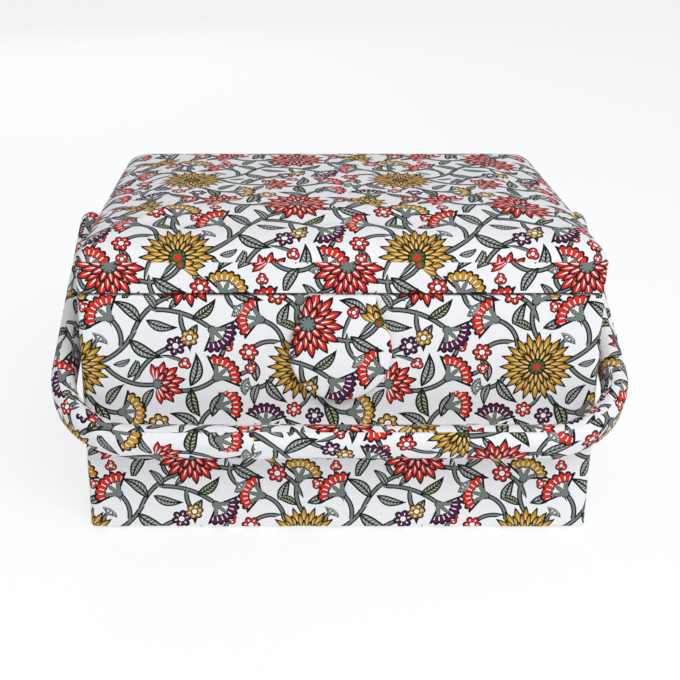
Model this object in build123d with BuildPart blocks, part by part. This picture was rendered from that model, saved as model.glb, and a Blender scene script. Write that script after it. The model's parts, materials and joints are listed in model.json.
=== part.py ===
"""A fabric-covered sewing box: board case, padded hinged lid with a magnetic tab, bail handle, two trays.

Millimetres, +Z up. The origin is the middle of the base's underside, the front faces -Y and
+X is to the right of someone looking at the front. The lid is shut, the handle lies folded
against the front, and the trays stand on their rails.
"""

import os
from math import cos, radians, sin

from build123d import *

os.makedirs("parts", exist_ok=True)

# Driving dimensions of the case and lid
BOX_W = 300.0
BOX_D = 230.0
LID_LINE = 150.0
LID_GAP = 1.5
LID_SEAM = 170.0
PAD_RISE = 15.0
CORNER_R = 4.0

# Thickness of the layers
FABRIC = 1.0
LINING = 0.8
BOARD = 4.0
BASE_SHEET = 1.2
HEM = 15.0
SHEET_INSET = 4.0

# Pad on the lid
PAD_CORNER = 6.0
PAD_ROUND = 13.0

# Trays and the rails that carry them
RAIL_H = 8.0
RAIL_ROUND = 1.0
UPPER_RAIL_OUT = 6.0
LOWER_RAIL_OUT = 12.0
UPPER_RAIL_TOP = 104.0
LOWER_RAIL_TOP = 56.0
TRAY_DEPTH = 106.0
TRAY_HEIGHT = 40.0
TRAY_WALL = 2.0
TRAY_CORNER = 8.0
POCKET_CORNER = 6.0
POCKET_ROUND = 2.5
TRAY_SIDE_PLAY = 1.0
TRAY_LIFT = 0.2
NOTCH_R = 12.0
UPPER_TRAY_ROWS = ((0.5, 3), (0.5, 2))
LOWER_TRAY_ROWS = ((1.0, 3),)

# Hinges on the back
HINGE_SPACING = 170.0
LEAF_W = 30.0
LEAF_T = 1.0
BOX_LEAF_H = 18.0
BOX_SCREW_DROP = 11.0
LID_LEAF_H = 14.0
KNUCKLE_R = 2.6
KNUCKLE_PLAY = 0.3
BACK_PLAY = 0.4
PIN_R = 1.2
PIN_FIT = 0.05
LEAF_NOTCH = 3.0
LID_OPEN = 105.0
LUG_L = 8.0
LUG_T = 1.0
LUG_W = 8.0
LUG_PLAY = 0.1
SCREW_SPACING = 18.0
SCREW_R = 1.2
SCREW_HEAD_R = 2.4
SCREW_HEAD_T = 1.0
SCREW_HEAD_ROUND = 0.6
SCREW_BITE = 3.0

# Bail handle: a flat steel strip, padded and sewn into a fabric sleeve
PIVOT_Z = 140.0
HANDLE_REACH = 157.0
HANDLE_DROP = 25.5
HANDLE_TAIL = 22.0
ARM_X = 163.0
BEND_R = 49.0
SLEEVE_W = 22.0
SLEEVE_T = 14.0
CORE_W = 16.0
CORE_T = 3.0

# Pivots of the handle, with the nuts hidden in the sleeve
BOLT_R = 2.5
BOLT_FIT = 0.05
BOLT_HEAD_R = 6.0
BOLT_HEAD_T = 1.5
SLEEVE_HOLE_R = 3.2
SPACER_R = 8.0
WASHER_R = 6.0
WASHER_T = 0.8
PIVOT_PLAY = 0.3
NUT_FLATS = 8.0
NUT_H = 2.4

# Tab that closes the lid
TAB_R = 29.5
TAB_CENTRE_Z = 117.0
TAB_NECK_W = 38.0
TAB_BOARD = 2.0
TAB_PLAY = 0.4
TAB_AXIS_Z = 149.5
TONGUE_T = 0.8
TONGUE_L = 16.0
MAGNET_R = 8.0
CATCH_R = 9.0
CATCH_T = 1.0

# Derived sizes of the case
BOARD_W = BOX_W - 2 * FABRIC
BOARD_D = BOX_D - 2 * FABRIC
WELL_W = BOARD_W - 2 * BOARD
WELL_D = BOARD_D - 2 * BOARD
INSIDE_W = WELL_W - 2 * LINING
INSIDE_D = WELL_D - 2 * LINING
HEM_Z = BASE_SHEET
BOARD_Z = HEM_Z + FABRIC
FLOOR_Z = BOARD_Z + BOARD
RIM_Z = LID_LINE - FABRIC
BOARD_R = CORNER_R - FABRIC

# Derived heights of the lid
LID_RIM_Z = LID_LINE + LID_GAP
STRIP_Z = LID_RIM_Z + FABRIC
CEILING_Z = LID_SEAM - BOARD

# Faces that other pieces are fixed to, each seen from outside with local Y upwards
FRONT = Plane(origin=(0, -BOX_D / 2, 0), x_dir=(1, 0, 0), z_dir=(0, -1, 0))
BACK = Plane(origin=(0, BOX_D / 2, 0), x_dir=(-1, 0, 0), z_dir=(0, 1, 0))

# Hinge axis and the places of its screws
AXIS_Y = BOX_D / 2 + KNUCKLE_R + BACK_PLAY
AXIS_Z = LID_LINE + LID_GAP / 2
HINGE_XS = (-HINGE_SPACING / 2, HINGE_SPACING / 2)
BOX_SCREW_Z = AXIS_Z - LEAF_NOTCH - BOX_SCREW_DROP
LID_SCREW_Z = AXIS_Z + LEAF_NOTCH + LID_LEAF_H / 2
SCREW_XS = [x + side * SCREW_SPACING / 2 for x in HINGE_XS for side in (-1, 1)]
SCREW_L = LEAF_T + FABRIC + SCREW_BITE


def slab(width, depth, height, low, corner):
    """A plain rounded plate standing on the height low."""
    with BuildPart() as plate:
        with BuildSketch(Plane.XY.offset(low)):
            RectangleRounded(width, depth, corner)
        extrude(amount=height)
    return plate.part


def long_board(side, low, high):
    """A front or back board: side is -1 in front and 1 at the back. Its outer corners are rounded."""
    with BuildPart() as board:
        with BuildSketch(Plane.XY.offset(low)) as outline:
            with Locations((0, side * (BOARD_D - BOARD) / 2)):
                Rectangle(BOARD_W, BOARD)
            fillet(outline.vertices().sort_by(Axis.Y, reverse=side > 0)[:2], BOARD_R)
        extrude(amount=high - low)
    return board.part


def short_board(side, low, high):
    """A left or right board, between the front and back ones."""
    with BuildPart() as board:
        with BuildSketch(Plane.XY.offset(low)):
            with Locations((side * (BOARD_W - BOARD) / 2, 0)):
                Rectangle(BOARD, WELL_D)
        extrude(amount=high - low)
    return board.part


# Base
with BuildPart() as base_sheet:
    add(slab(BOX_W - 2 * SHEET_INSET, BOX_D - 2 * SHEET_INSET, BASE_SHEET, 0, BOARD_R))
base_sheet.part.label = "base_sheet"
export_step(base_sheet.part, "parts/base_sheet.step")

with BuildPart() as base_board:
    with BuildSketch(Plane.XY.offset(BOARD_Z)):
        Rectangle(WELL_W, WELL_D)
    extrude(amount=BOARD)
base_board.part.label = "base_board"
export_step(base_board.part, "parts/base_board.step")

# Walls
with BuildPart() as front_board:
    add(long_board(-1, BOARD_Z, RIM_Z))
    with BuildSketch(FRONT.offset(-FABRIC)):
        with Locations((0, TAB_CENTRE_Z)):
            Circle(CATCH_R)
    extrude(amount=-CATCH_T, mode=Mode.SUBTRACT)
front_board.part.label = "front_board"
export_step(front_board.part, "parts/front_board.step")

with BuildPart() as catch_plate:
    with BuildSketch(FRONT.offset(-FABRIC)):
        with Locations((0, TAB_CENTRE_Z)):
            Circle(CATCH_R)
    extrude(amount=-CATCH_T)
catch_plate.part.label = "catch_plate"
export_step(catch_plate.part, "parts/catch_plate.step")

with BuildPart() as back_board:
    add(long_board(1, BOARD_Z, RIM_Z))
    with BuildSketch(BACK.offset(-FABRIC)):
        with Locations([(x, BOX_SCREW_Z) for x in SCREW_XS]):
            Circle(SCREW_R)
    extrude(amount=-SCREW_BITE, mode=Mode.SUBTRACT)
back_board.part.label = "back_board"
export_step(back_board.part, "parts/back_board.step")

for side, name in ((-1, "left_board"), (1, "right_board")):
    with BuildPart() as side_board:
        add(short_board(side, BOARD_Z, RIM_Z))
        with BuildSketch(Plane.YZ.offset(side * WELL_W / 2)):
            with Locations((0, PIVOT_Z)):
                Circle(BOLT_HEAD_R)
        extrude(amount=side * BOLT_HEAD_T, mode=Mode.SUBTRACT)
        with BuildSketch(Plane.YZ.offset(side * WELL_W / 2)):
            with Locations((0, PIVOT_Z)):
                Circle(BOLT_R)
        extrude(amount=side * BOARD, mode=Mode.SUBTRACT)
    side_board.part.label = name
    export_step(side_board.part, f"parts/{name}.step")

# Printed fabric around the case, turned in over the rim and under the base
with BuildPart() as body_cover:
    add(slab(BOX_W, BOX_D, LID_LINE - HEM_Z, HEM_Z, CORNER_R))
    with BuildSketch(Plane.XY.offset(BOARD_Z)):
        RectangleRounded(BOARD_W, BOARD_D, BOARD_R)
    extrude(amount=RIM_Z - BOARD_Z, mode=Mode.SUBTRACT)
    with BuildSketch(Plane.XY.offset(RIM_Z)):
        Rectangle(INSIDE_W, INSIDE_D)
    extrude(amount=FABRIC, mode=Mode.SUBTRACT)
    with BuildSketch(Plane.XY.offset(HEM_Z)):
        Rectangle(BOX_W - 2 * HEM, BOX_D - 2 * HEM)
    extrude(amount=FABRIC, mode=Mode.SUBTRACT)
    for side in (-1, 1):
        with BuildSketch(Plane.YZ.offset(side * BOX_W / 2)):
            with Locations((0, PIVOT_Z)):
                Circle(BOLT_R)
        extrude(amount=-side * FABRIC, mode=Mode.SUBTRACT)
    with BuildSketch(BACK):
        with Locations([(x, BOX_SCREW_Z) for x in SCREW_XS]):
            Circle(SCREW_R)
    extrude(amount=-FABRIC, mode=Mode.SUBTRACT)
body_cover.part.label = "body_cover"
export_step(body_cover.part, "parts/body_cover.step")

# Lining
with BuildPart() as wall_lining:
    with BuildSketch(Plane.XY.offset(FLOOR_Z)):
        Rectangle(WELL_W, WELL_D)
        Rectangle(INSIDE_W, INSIDE_D, mode=Mode.SUBTRACT)
    extrude(amount=RIM_Z - FLOOR_Z)
wall_lining.part.label = "wall_lining"
export_step(wall_lining.part, "parts/wall_lining.step")

with BuildPart() as floor_lining:
    with BuildSketch(Plane.XY.offset(FLOOR_Z)):
        Rectangle(INSIDE_W, INSIDE_D)
    extrude(amount=LINING)
floor_lining.part.label = "floor_lining"
export_step(floor_lining.part, "parts/floor_lining.step")

# Rails, glued to the lining of the side walls
RAILS = (("upper", UPPER_RAIL_TOP, UPPER_RAIL_OUT), ("lower", LOWER_RAIL_TOP, LOWER_RAIL_OUT))
for level, top, reach in RAILS:
    for side, hand in ((-1, "left"), (1, "right")):
        with BuildPart() as rail:
            with BuildSketch(Plane.XY.offset(top - RAIL_H)):
                with Locations((side * (INSIDE_W - reach) / 2, 0)):
                    Rectangle(reach, INSIDE_D)
            extrude(amount=RAIL_H)
            inner_edges = rail.edges().filter_by(Axis.Y).sort_by(Axis.X, reverse=side < 0)[:2]
            fillet(inner_edges, RAIL_ROUND)
        rail.part.label = f"{level}_rail_{hand}"
        export_step(rail.part, f"parts/{level}_rail_{hand}.step")


def tray(width, middle_y, low, rows, grip):
    """A moulded tray with a finger notch in its front (grip -1) or back (grip 1).

    Each of rows is (share of the depth, number of pockets), from front to back.
    """
    with BuildPart() as body:
        add(slab(width, TRAY_DEPTH, TRAY_HEIGHT, low, TRAY_CORNER).move(Location((0, middle_y, 0))))
        fillet(body.faces().sort_by(Axis.Z)[0].edges(), TRAY_WALL)
        clear_depth = TRAY_DEPTH - TRAY_WALL * (len(rows) + 1)
        front = middle_y - TRAY_DEPTH / 2 + TRAY_WALL
        for share, count in rows:
            depth = clear_depth * share
            pocket_w = (width - TRAY_WALL * (count + 1)) / count
            with BuildSketch(Plane.XY.offset(low + TRAY_WALL)):
                with Locations((0, front + depth / 2)):
                    with GridLocations(pocket_w + TRAY_WALL, 0, count, 1):
                        RectangleRounded(pocket_w, depth, POCKET_CORNER)
            extrude(amount=TRAY_HEIGHT, mode=Mode.SUBTRACT)
            front += depth + TRAY_WALL
        pocket_floor = body.edges().filter_by_position(Axis.Z, low + TRAY_WALL, low + TRAY_WALL)
        fillet(pocket_floor, POCKET_ROUND)
        face_y = middle_y + grip * TRAY_DEPTH / 2
        with BuildSketch(Plane(origin=(0, face_y, 0), x_dir=(-grip, 0, 0), z_dir=(0, grip, 0))):
            with Locations((0, low + TRAY_HEIGHT)):
                Circle(NOTCH_R)
        extrude(amount=-TRAY_WALL, mode=Mode.SUBTRACT)
    return body.part


# Trays: the upper one stands at the back of the case and the lower one at the front, each with its notch
# towards the middle
REST_Y = (INSIDE_D - TRAY_DEPTH) / 2 - TRAY_SIDE_PLAY
UPPER_TRAY_W = INSIDE_W - 2 * TRAY_SIDE_PLAY
LOWER_TRAY_W = INSIDE_W - 2 * UPPER_RAIL_OUT - 2 * TRAY_SIDE_PLAY

with BuildPart() as upper_tray:
    add(tray(UPPER_TRAY_W, REST_Y, UPPER_RAIL_TOP + TRAY_LIFT, UPPER_TRAY_ROWS, -1))
upper_tray.part.label = "upper_tray"
export_step(upper_tray.part, "parts/upper_tray.step")

with BuildPart() as lower_tray:
    add(tray(LOWER_TRAY_W, -REST_Y, LOWER_RAIL_TOP + TRAY_LIFT, LOWER_TRAY_ROWS, 1))
lower_tray.part.label = "lower_tray"
export_step(lower_tray.part, "parts/lower_tray.step")

# Lid boards
with BuildPart() as lid_board:
    add(slab(BOARD_W, BOARD_D, BOARD, CEILING_Z, BOARD_R))
lid_board.part.label = "lid_board"
export_step(lid_board.part, "parts/lid_board.step")

with BuildPart() as lid_front_strip:
    add(long_board(-1, STRIP_Z, CEILING_Z))
lid_front_strip.part.label = "lid_front_strip"
export_step(lid_front_strip.part, "parts/lid_front_strip.step")

with BuildPart() as lid_back_strip:
    add(long_board(1, STRIP_Z, CEILING_Z))
    with BuildSketch(BACK.offset(-FABRIC)):
        with Locations([(x, LID_SCREW_Z) for x in SCREW_XS]):
            Circle(SCREW_R)
    extrude(amount=-SCREW_BITE, mode=Mode.SUBTRACT)
lid_back_strip.part.label = "lid_back_strip"
export_step(lid_back_strip.part, "parts/lid_back_strip.step")

for side, name in ((-1, "lid_left_strip"), (1, "lid_right_strip")):
    with BuildPart() as lid_side_strip:
        add(short_board(side, STRIP_Z, CEILING_Z))
    lid_side_strip.part.label = name
    export_step(lid_side_strip.part, f"parts/{name}.step")

# Printed fabric around the lid's edge, turned in under its rim
with BuildPart() as lid_band_cover:
    add(slab(BOX_W, BOX_D, LID_SEAM - LID_RIM_Z, LID_RIM_Z, CORNER_R))
    with BuildSketch(Plane.XY.offset(STRIP_Z)):
        RectangleRounded(BOARD_W, BOARD_D, BOARD_R)
    extrude(amount=LID_SEAM - STRIP_Z, mode=Mode.SUBTRACT)
    with BuildSketch(Plane.XY.offset(LID_RIM_Z)):
        Rectangle(INSIDE_W, INSIDE_D)
    extrude(amount=FABRIC, mode=Mode.SUBTRACT)
    with BuildSketch(BACK):
        with Locations([(x, LID_SCREW_Z) for x in SCREW_XS]):
            Circle(SCREW_R)
    extrude(amount=-FABRIC, mode=Mode.SUBTRACT)
lid_band_cover.part.label = "lid_band_cover"
export_step(lid_band_cover.part, "parts/lid_band_cover.step")

with BuildPart() as lid_lining:
    with BuildSketch(Plane.XY.offset(STRIP_Z)):
        Rectangle(WELL_W, WELL_D)
    extrude(amount=CEILING_Z - STRIP_Z)
    with BuildSketch(Plane.XY.offset(STRIP_Z)):
        Rectangle(INSIDE_W, INSIDE_D)
    extrude(amount=CEILING_Z - STRIP_Z - LINING, mode=Mode.SUBTRACT)
lid_lining.part.label = "lid_lining"
export_step(lid_lining.part, "parts/lid_lining.step")


def pad(inset, height):
    """The rounded pad on the lid, or the foam inside it."""
    with BuildPart() as body:
        add(slab(BOX_W - 2 * inset, BOX_D - 2 * inset, height, LID_SEAM, PAD_CORNER - inset))
        fillet(body.faces().sort_by(Axis.Z)[-1].edges(), PAD_ROUND - inset)
    return body.part


with BuildPart() as lid_foam:
    add(pad(FABRIC, PAD_RISE - FABRIC))
lid_foam.part.label = "lid_foam"
export_step(lid_foam.part, "parts/lid_foam.step")

with BuildPart() as lid_pad_cover:
    add(pad(0, PAD_RISE))
    add(pad(FABRIC, PAD_RISE - FABRIC), mode=Mode.SUBTRACT)
lid_pad_cover.part.label = "lid_pad_cover"
export_step(lid_pad_cover.part, "parts/lid_pad_cover.step")

# Hinges. Each has three knuckles: the outer two belong to the box leaf, the middle one to the lid leaf
KNUCKLE_L = (LEAF_W - 2 * KNUCKLE_PLAY) / 3
KNUCKLE_STEP = KNUCKLE_L + KNUCKLE_PLAY
WEB_H = LEAF_NOTCH - LEAF_T / 2


def knuckle(middle_x, radius, length):
    """A round bar on the hinge axis."""
    with BuildPart() as bar:
        with BuildSketch(Plane.YZ.offset(middle_x - length / 2)):
            with Locations((AXIS_Y, AXIS_Z)):
                Circle(radius)
        extrude(amount=length)
    return bar.part


def leaf_plate(middle_x, side, height, knuckle_xs, bore):
    """A flat leaf with its knuckles: side is -1 below the axis and 1 above it."""
    screw_z = BOX_SCREW_Z if side < 0 else LID_SCREW_Z
    with BuildPart() as leaf:
        with BuildSketch(BACK):
            with Locations((-middle_x, AXIS_Z + side * (LEAF_NOTCH + height / 2))):
                Rectangle(LEAF_W, height)
            with Locations([(-x, AXIS_Z + side * (LEAF_NOTCH - WEB_H / 2)) for x in knuckle_xs]):
                Rectangle(KNUCKLE_L, WEB_H)
            with Locations([(-middle_x + s * SCREW_SPACING / 2, screw_z) for s in (-1, 1)]):
                Circle(SCREW_R, mode=Mode.SUBTRACT)
        extrude(amount=LEAF_T)
        for x in knuckle_xs:
            add(knuckle(x, KNUCKLE_R, KNUCKLE_L))
            add(knuckle(x, bore, KNUCKLE_L), mode=Mode.SUBTRACT)
    return leaf.part


def stop_lug(middle_x):
    """The lug that lands on the box leaf when the lid is fully open."""
    turn = radians(LID_OPEN)
    lug_x = AXIS_Y - BOX_D / 2 - LEAF_T - LUG_T / 2 - LUG_PLAY
    start = Vector(middle_x - LUG_W / 2, AXIS_Y, AXIS_Z)
    with BuildPart() as lug:
        with BuildSketch(Plane(origin=start, x_dir=(0, cos(turn), sin(turn)), z_dir=(1, 0, 0))):
            with Locations((-lug_x, -PIN_R - LUG_L / 2)):
                Rectangle(LUG_T, LUG_L)
        extrude(amount=LUG_W)
        add(knuckle(middle_x, PIN_R + PIN_FIT, LUG_W), mode=Mode.SUBTRACT)
    return lug.part


with BuildPart() as hinge_box_leaves:
    for x in HINGE_XS:
        add(leaf_plate(x, -1, BOX_LEAF_H, (x - KNUCKLE_STEP, x + KNUCKLE_STEP), PIN_R))
hinge_box_leaves.part.label = "hinge_box_leaves"
export_step(hinge_box_leaves.part, "parts/hinge_box_leaves.step")

with BuildPart() as hinge_lid_leaves:
    for x in HINGE_XS:
        add(leaf_plate(x, 1, LID_LEAF_H, (x,), PIN_R + PIN_FIT))
        add(stop_lug(x))
hinge_lid_leaves.part.label = "hinge_lid_leaves"
export_step(hinge_lid_leaves.part, "parts/hinge_lid_leaves.step")

with BuildPart() as hinge_pins:
    for x in HINGE_XS:
        add(knuckle(x, PIN_R, LEAF_W))
hinge_pins.part.label = "hinge_pins"
export_step(hinge_pins.part, "parts/hinge_pins.step")

for name, screw_z in (("hinge_box_screws", BOX_SCREW_Z), ("hinge_lid_screws", LID_SCREW_Z)):
    with BuildPart() as screws:
        with BuildSketch(BACK.offset(LEAF_T)):
            with Locations([(x, screw_z) for x in SCREW_XS]):
                Circle(SCREW_R)
        extrude(amount=-SCREW_L)
        with BuildSketch(BACK.offset(LEAF_T)):
            with Locations([(x, screw_z) for x in SCREW_XS]):
                Circle(SCREW_HEAD_R)
        extrude(amount=SCREW_HEAD_T)
        fillet(screws.faces().sort_by(Axis.Y)[-len(SCREW_XS) :].edges(), SCREW_HEAD_ROUND)
    screws.part.label = name
    export_step(screws.part, f"parts/{name}.step")

# Handle. Its plane holds the pivots and the bar: local X is the box's X, local Y runs out along the arms
ARM_OUT = Vector(0, -cos(radians(HANDLE_DROP)), -sin(radians(HANDLE_DROP)))
PIVOT = Vector(0, 0, PIVOT_Z)
HANDLE = Plane(origin=PIVOT, x_dir=(1, 0, 0), z_dir=Vector(1, 0, 0).cross(ARM_OUT))
ROUTE = (
    (-ARM_X, -HANDLE_TAIL),
    (-ARM_X, HANDLE_REACH),
    (ARM_X, HANDLE_REACH),
    (ARM_X, -HANDLE_TAIL),
)


def handle_bar(width, thick):
    """The bowed bar of the handle in a rounded flat section, with round ends behind the pivots."""
    with BuildPart() as bar:
        with BuildLine(HANDLE) as route:
            FilletPolyline(*ROUTE, radius=BEND_R)
        path = route.wires()[0]
        with BuildSketch(Plane(origin=path @ 0, x_dir=(1, 0, 0), z_dir=path % 0)):
            SlotOverall(width, thick, rotation=90)
        sweep(path=path)
        for end in (0, 1):
            middle = path @ end
            with BuildSketch(Plane(origin=middle, x_dir=(1, 0, 0), z_dir=ARM_OUT)):
                SlotOverall(width, thick, rotation=90)
                with Locations((0, -width / 2)):
                    Rectangle(width, width, mode=Mode.SUBTRACT)
            revolve(axis=Axis(middle, (1, 0, 0)))
    return bar.part


def pivot_bar(side, start_x, length, radius):
    """A round bar on the handle's pivot axis, from start_x outwards."""
    with BuildPart() as bar:
        with BuildSketch(Plane.YZ.offset(side * start_x)):
            with Locations((0, PIVOT_Z)):
                Circle(radius)
        extrude(amount=side * length)
    return bar.part


with BuildPart() as handle_core:
    with BuildLine(HANDLE) as core_route:
        FilletPolyline(*ROUTE, radius=BEND_R)
    core_path = core_route.wires()[0]
    with BuildSketch(Plane(origin=core_path @ 0, x_dir=(1, 0, 0), z_dir=core_path % 0)):
        Rectangle(CORE_T, CORE_W)
    sweep(path=core_path)
    for end, side in ((0, -1), (1, 1)):
        with BuildSketch(Plane(origin=core_path @ end - Vector(CORE_T / 2, 0, 0), z_dir=(1, 0, 0))):
            Circle(CORE_W / 2)
        extrude(amount=CORE_T)
        add(pivot_bar(side, ARM_X - CORE_T, 2 * CORE_T, BOLT_R + BOLT_FIT), mode=Mode.SUBTRACT)
handle_core.part.label = "handle_core"
export_step(handle_core.part, "parts/handle_core.step")

# Pivots run from the flat bolt heads under the lining out to the nuts between the strip and the sleeve
HEAD_X = WELL_W / 2
SPACER_L = ARM_X - SLEEVE_T / 2 - PIVOT_PLAY - BOX_W / 2
WASHER_X = ARM_X + CORE_T / 2 + PIVOT_PLAY
NUT_X = WASHER_X + WASHER_T
NUT_END_X = NUT_X + NUT_H
POCKET_X = ARM_X + CORE_T / 2
POCKET_L = NUT_END_X + PIVOT_PLAY - POCKET_X

with BuildPart() as handle_padding:
    add(handle_bar(SLEEVE_W - 2 * FABRIC, SLEEVE_T - 2 * FABRIC))
    add(handle_core.part, mode=Mode.SUBTRACT)
    for side in (-1, 1):
        add(pivot_bar(side, ARM_X - SLEEVE_T, SLEEVE_T + CORE_T, SLEEVE_HOLE_R), mode=Mode.SUBTRACT)
        add(pivot_bar(side, POCKET_X, POCKET_L, WASHER_R + PIVOT_PLAY), mode=Mode.SUBTRACT)
handle_padding.part.label = "handle_padding"
export_step(handle_padding.part, "parts/handle_padding.step")

with BuildPart() as handle_cover:
    add(handle_bar(SLEEVE_W, SLEEVE_T))
    add(handle_bar(SLEEVE_W - 2 * FABRIC, SLEEVE_T - 2 * FABRIC), mode=Mode.SUBTRACT)
    for side in (-1, 1):
        add(pivot_bar(side, ARM_X - SLEEVE_T, SLEEVE_T, SLEEVE_HOLE_R), mode=Mode.SUBTRACT)
handle_cover.part.label = "handle_cover"
export_step(handle_cover.part, "parts/handle_cover.step")

with BuildPart() as pivot_bolts:
    for side in (-1, 1):
        add(pivot_bar(side, HEAD_X, BOLT_HEAD_T, BOLT_HEAD_R))
        add(pivot_bar(side, HEAD_X, NUT_END_X - HEAD_X, BOLT_R))
pivot_bolts.part.label = "pivot_bolts"
export_step(pivot_bolts.part, "parts/pivot_bolts.step")

with BuildPart() as pivot_spacers:
    for side in (-1, 1):
        add(pivot_bar(side, BOX_W / 2, SPACER_L, SPACER_R))
        add(pivot_bar(side, BOX_W / 2, SPACER_L, BOLT_R), mode=Mode.SUBTRACT)
pivot_spacers.part.label = "pivot_spacers"
export_step(pivot_spacers.part, "parts/pivot_spacers.step")

with BuildPart() as pivot_washers:
    for side in (-1, 1):
        add(pivot_bar(side, WASHER_X, WASHER_T, WASHER_R))
        add(pivot_bar(side, WASHER_X, WASHER_T, BOLT_R), mode=Mode.SUBTRACT)
pivot_washers.part.label = "pivot_washers"
export_step(pivot_washers.part, "parts/pivot_washers.step")

with BuildPart() as pivot_nuts:
    for side in (-1, 1):
        with BuildSketch(Plane.YZ.offset(side * NUT_X)):
            with Locations((0, PIVOT_Z)):
                RegularPolygon(NUT_FLATS / 2, 6, major_radius=False)
        extrude(amount=side * NUT_H)
        add(pivot_bar(side, NUT_X, NUT_H, BOLT_R), mode=Mode.SUBTRACT)
pivot_nuts.part.label = "pivot_nuts"
export_step(pivot_nuts.part, "parts/pivot_nuts.step")

# Tab: a fabric-covered tongue of board with a magnet, hanging from the lid's rim over the front
TAB_T = TAB_BOARD + 2 * FABRIC
TAB_AXIS_Y = -BOX_D / 2 - TAB_PLAY - TAB_T / 2


def tab_plate(inset, thick, gap):
    """The tab's outline, drawn in by inset, as a plate that stands gap in front of the box."""
    neck_z = TAB_AXIS_Z - 2 * inset
    with BuildPart() as plate:
        with BuildSketch(FRONT.offset(gap)):
            with Locations((0, TAB_CENTRE_Z)):
                Circle(TAB_R - inset)
            with Locations((0, neck_z - FABRIC)):
                Rectangle(TAB_NECK_W - 2 * inset, 2 * FABRIC)
            make_hull()
        extrude(amount=thick)
    return plate.part


with BuildPart() as tab_magnet:
    with BuildSketch(FRONT.offset(TAB_PLAY + FABRIC)):
        with Locations((0, TAB_CENTRE_Z)):
            Circle(MAGNET_R)
    extrude(amount=TAB_BOARD)
tab_magnet.part.label = "tab_magnet"
export_step(tab_magnet.part, "parts/tab_magnet.step")

with BuildPart() as tab_board:
    add(tab_plate(FABRIC, TAB_BOARD, TAB_PLAY + FABRIC))
    add(tab_magnet.part, mode=Mode.SUBTRACT)
tab_board.part.label = "tab_board"
export_step(tab_board.part, "parts/tab_board.step")

with BuildPart() as tab_cover:
    add(tab_plate(0, TAB_T, TAB_PLAY))
    with BuildSketch(Plane.YZ.offset(-TAB_NECK_W / 2)):
        with Locations((TAB_AXIS_Y, TAB_AXIS_Z)):
            Circle(TAB_T / 2)
    extrude(amount=TAB_NECK_W)
    add(tab_plate(FABRIC, TAB_BOARD, TAB_PLAY + FABRIC), mode=Mode.SUBTRACT)
tab_cover.part.label = "tab_cover"
export_step(tab_cover.part, "parts/tab_cover.step")

# Strip of the tab's fabric that is glued under the lid's rim
with BuildPart() as tab_tongue:
    with BuildSketch(Plane.XY.offset(LID_RIM_Z - TONGUE_T)):
        with Locations((0, -BOX_D / 2 + TONGUE_L / 2)):
            Rectangle(TAB_NECK_W, TONGUE_L)
    extrude(amount=TONGUE_T)
tab_tongue.part.label = "tab_tongue"
export_step(tab_tongue.part, "parts/tab_tongue.step")
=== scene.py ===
# %% [markdown]
# # A sewing box covered in printed cotton
#
# The box is a case of board with a padded lid, a round tab, a bail handle and two trays. The boards,
# rails, hinges and trays come from the CAD frame and keep their shape. Whatever is cloth on the real
# box is made here, because cloth has turned edges, laps and puckers that a plain solid can't show.

# %% Load the frame
import json
from math import atan, atan2, ceil, cos, degrees, exp, hypot, pi, radians, sin, sqrt, tan

import bpy
import numpy as np
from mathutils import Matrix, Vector, noise


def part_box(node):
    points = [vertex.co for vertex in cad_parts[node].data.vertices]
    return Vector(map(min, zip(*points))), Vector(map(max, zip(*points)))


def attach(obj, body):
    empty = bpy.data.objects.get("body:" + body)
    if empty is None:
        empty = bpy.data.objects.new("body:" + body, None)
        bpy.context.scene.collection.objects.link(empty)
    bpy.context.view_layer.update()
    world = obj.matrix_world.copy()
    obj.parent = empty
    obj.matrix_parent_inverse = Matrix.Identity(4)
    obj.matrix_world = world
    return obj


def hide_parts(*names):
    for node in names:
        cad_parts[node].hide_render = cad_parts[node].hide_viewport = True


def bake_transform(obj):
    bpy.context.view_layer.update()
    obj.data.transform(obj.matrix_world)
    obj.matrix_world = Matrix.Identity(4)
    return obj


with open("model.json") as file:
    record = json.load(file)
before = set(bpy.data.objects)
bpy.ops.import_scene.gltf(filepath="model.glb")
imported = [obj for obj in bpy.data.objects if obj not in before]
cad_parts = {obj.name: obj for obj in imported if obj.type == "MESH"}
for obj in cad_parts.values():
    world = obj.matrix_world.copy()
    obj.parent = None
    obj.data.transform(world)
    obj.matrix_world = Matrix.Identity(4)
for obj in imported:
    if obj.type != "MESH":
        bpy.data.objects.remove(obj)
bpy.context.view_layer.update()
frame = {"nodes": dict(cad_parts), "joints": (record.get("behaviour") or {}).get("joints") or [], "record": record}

MM = 0.001
case_low, case_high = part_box("body_cover")
WIDTH = case_high.x - case_low.x
DEPTH = case_high.y - case_low.y
JOINTS = {joint["name"]: joint for joint in frame["joints"]}


def in_mm(*lengths):
    """Lengths in millimetres, for printing."""
    return [round(length / MM, 1) for length in lengths]


print("the case is", in_mm(WIDTH, DEPTH, case_high.z), "mm")

# %% [markdown]
# ## Camera
#
# The box is seen from the front and from about 19 degrees above. The camera's place and focal length were
# worked out from the corners of the front and the lid, so it is set by numbers and not by eye. The front
# shows no turn, so the lens points straight at it, and the picture is a part of a larger one: that is the
# lens shift.

# %% Camera
PICTURE_PX = 680
FOCAL_PX = 1155.0
LENS_MIDDLE_PX = (290.6, 273.0)
PITCH_DEG = 18.86
SENSOR_MM = 36.0
CAMERA_AT = (-28.6 * MM, -728.1 * MM, 373.2 * MM)

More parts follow.
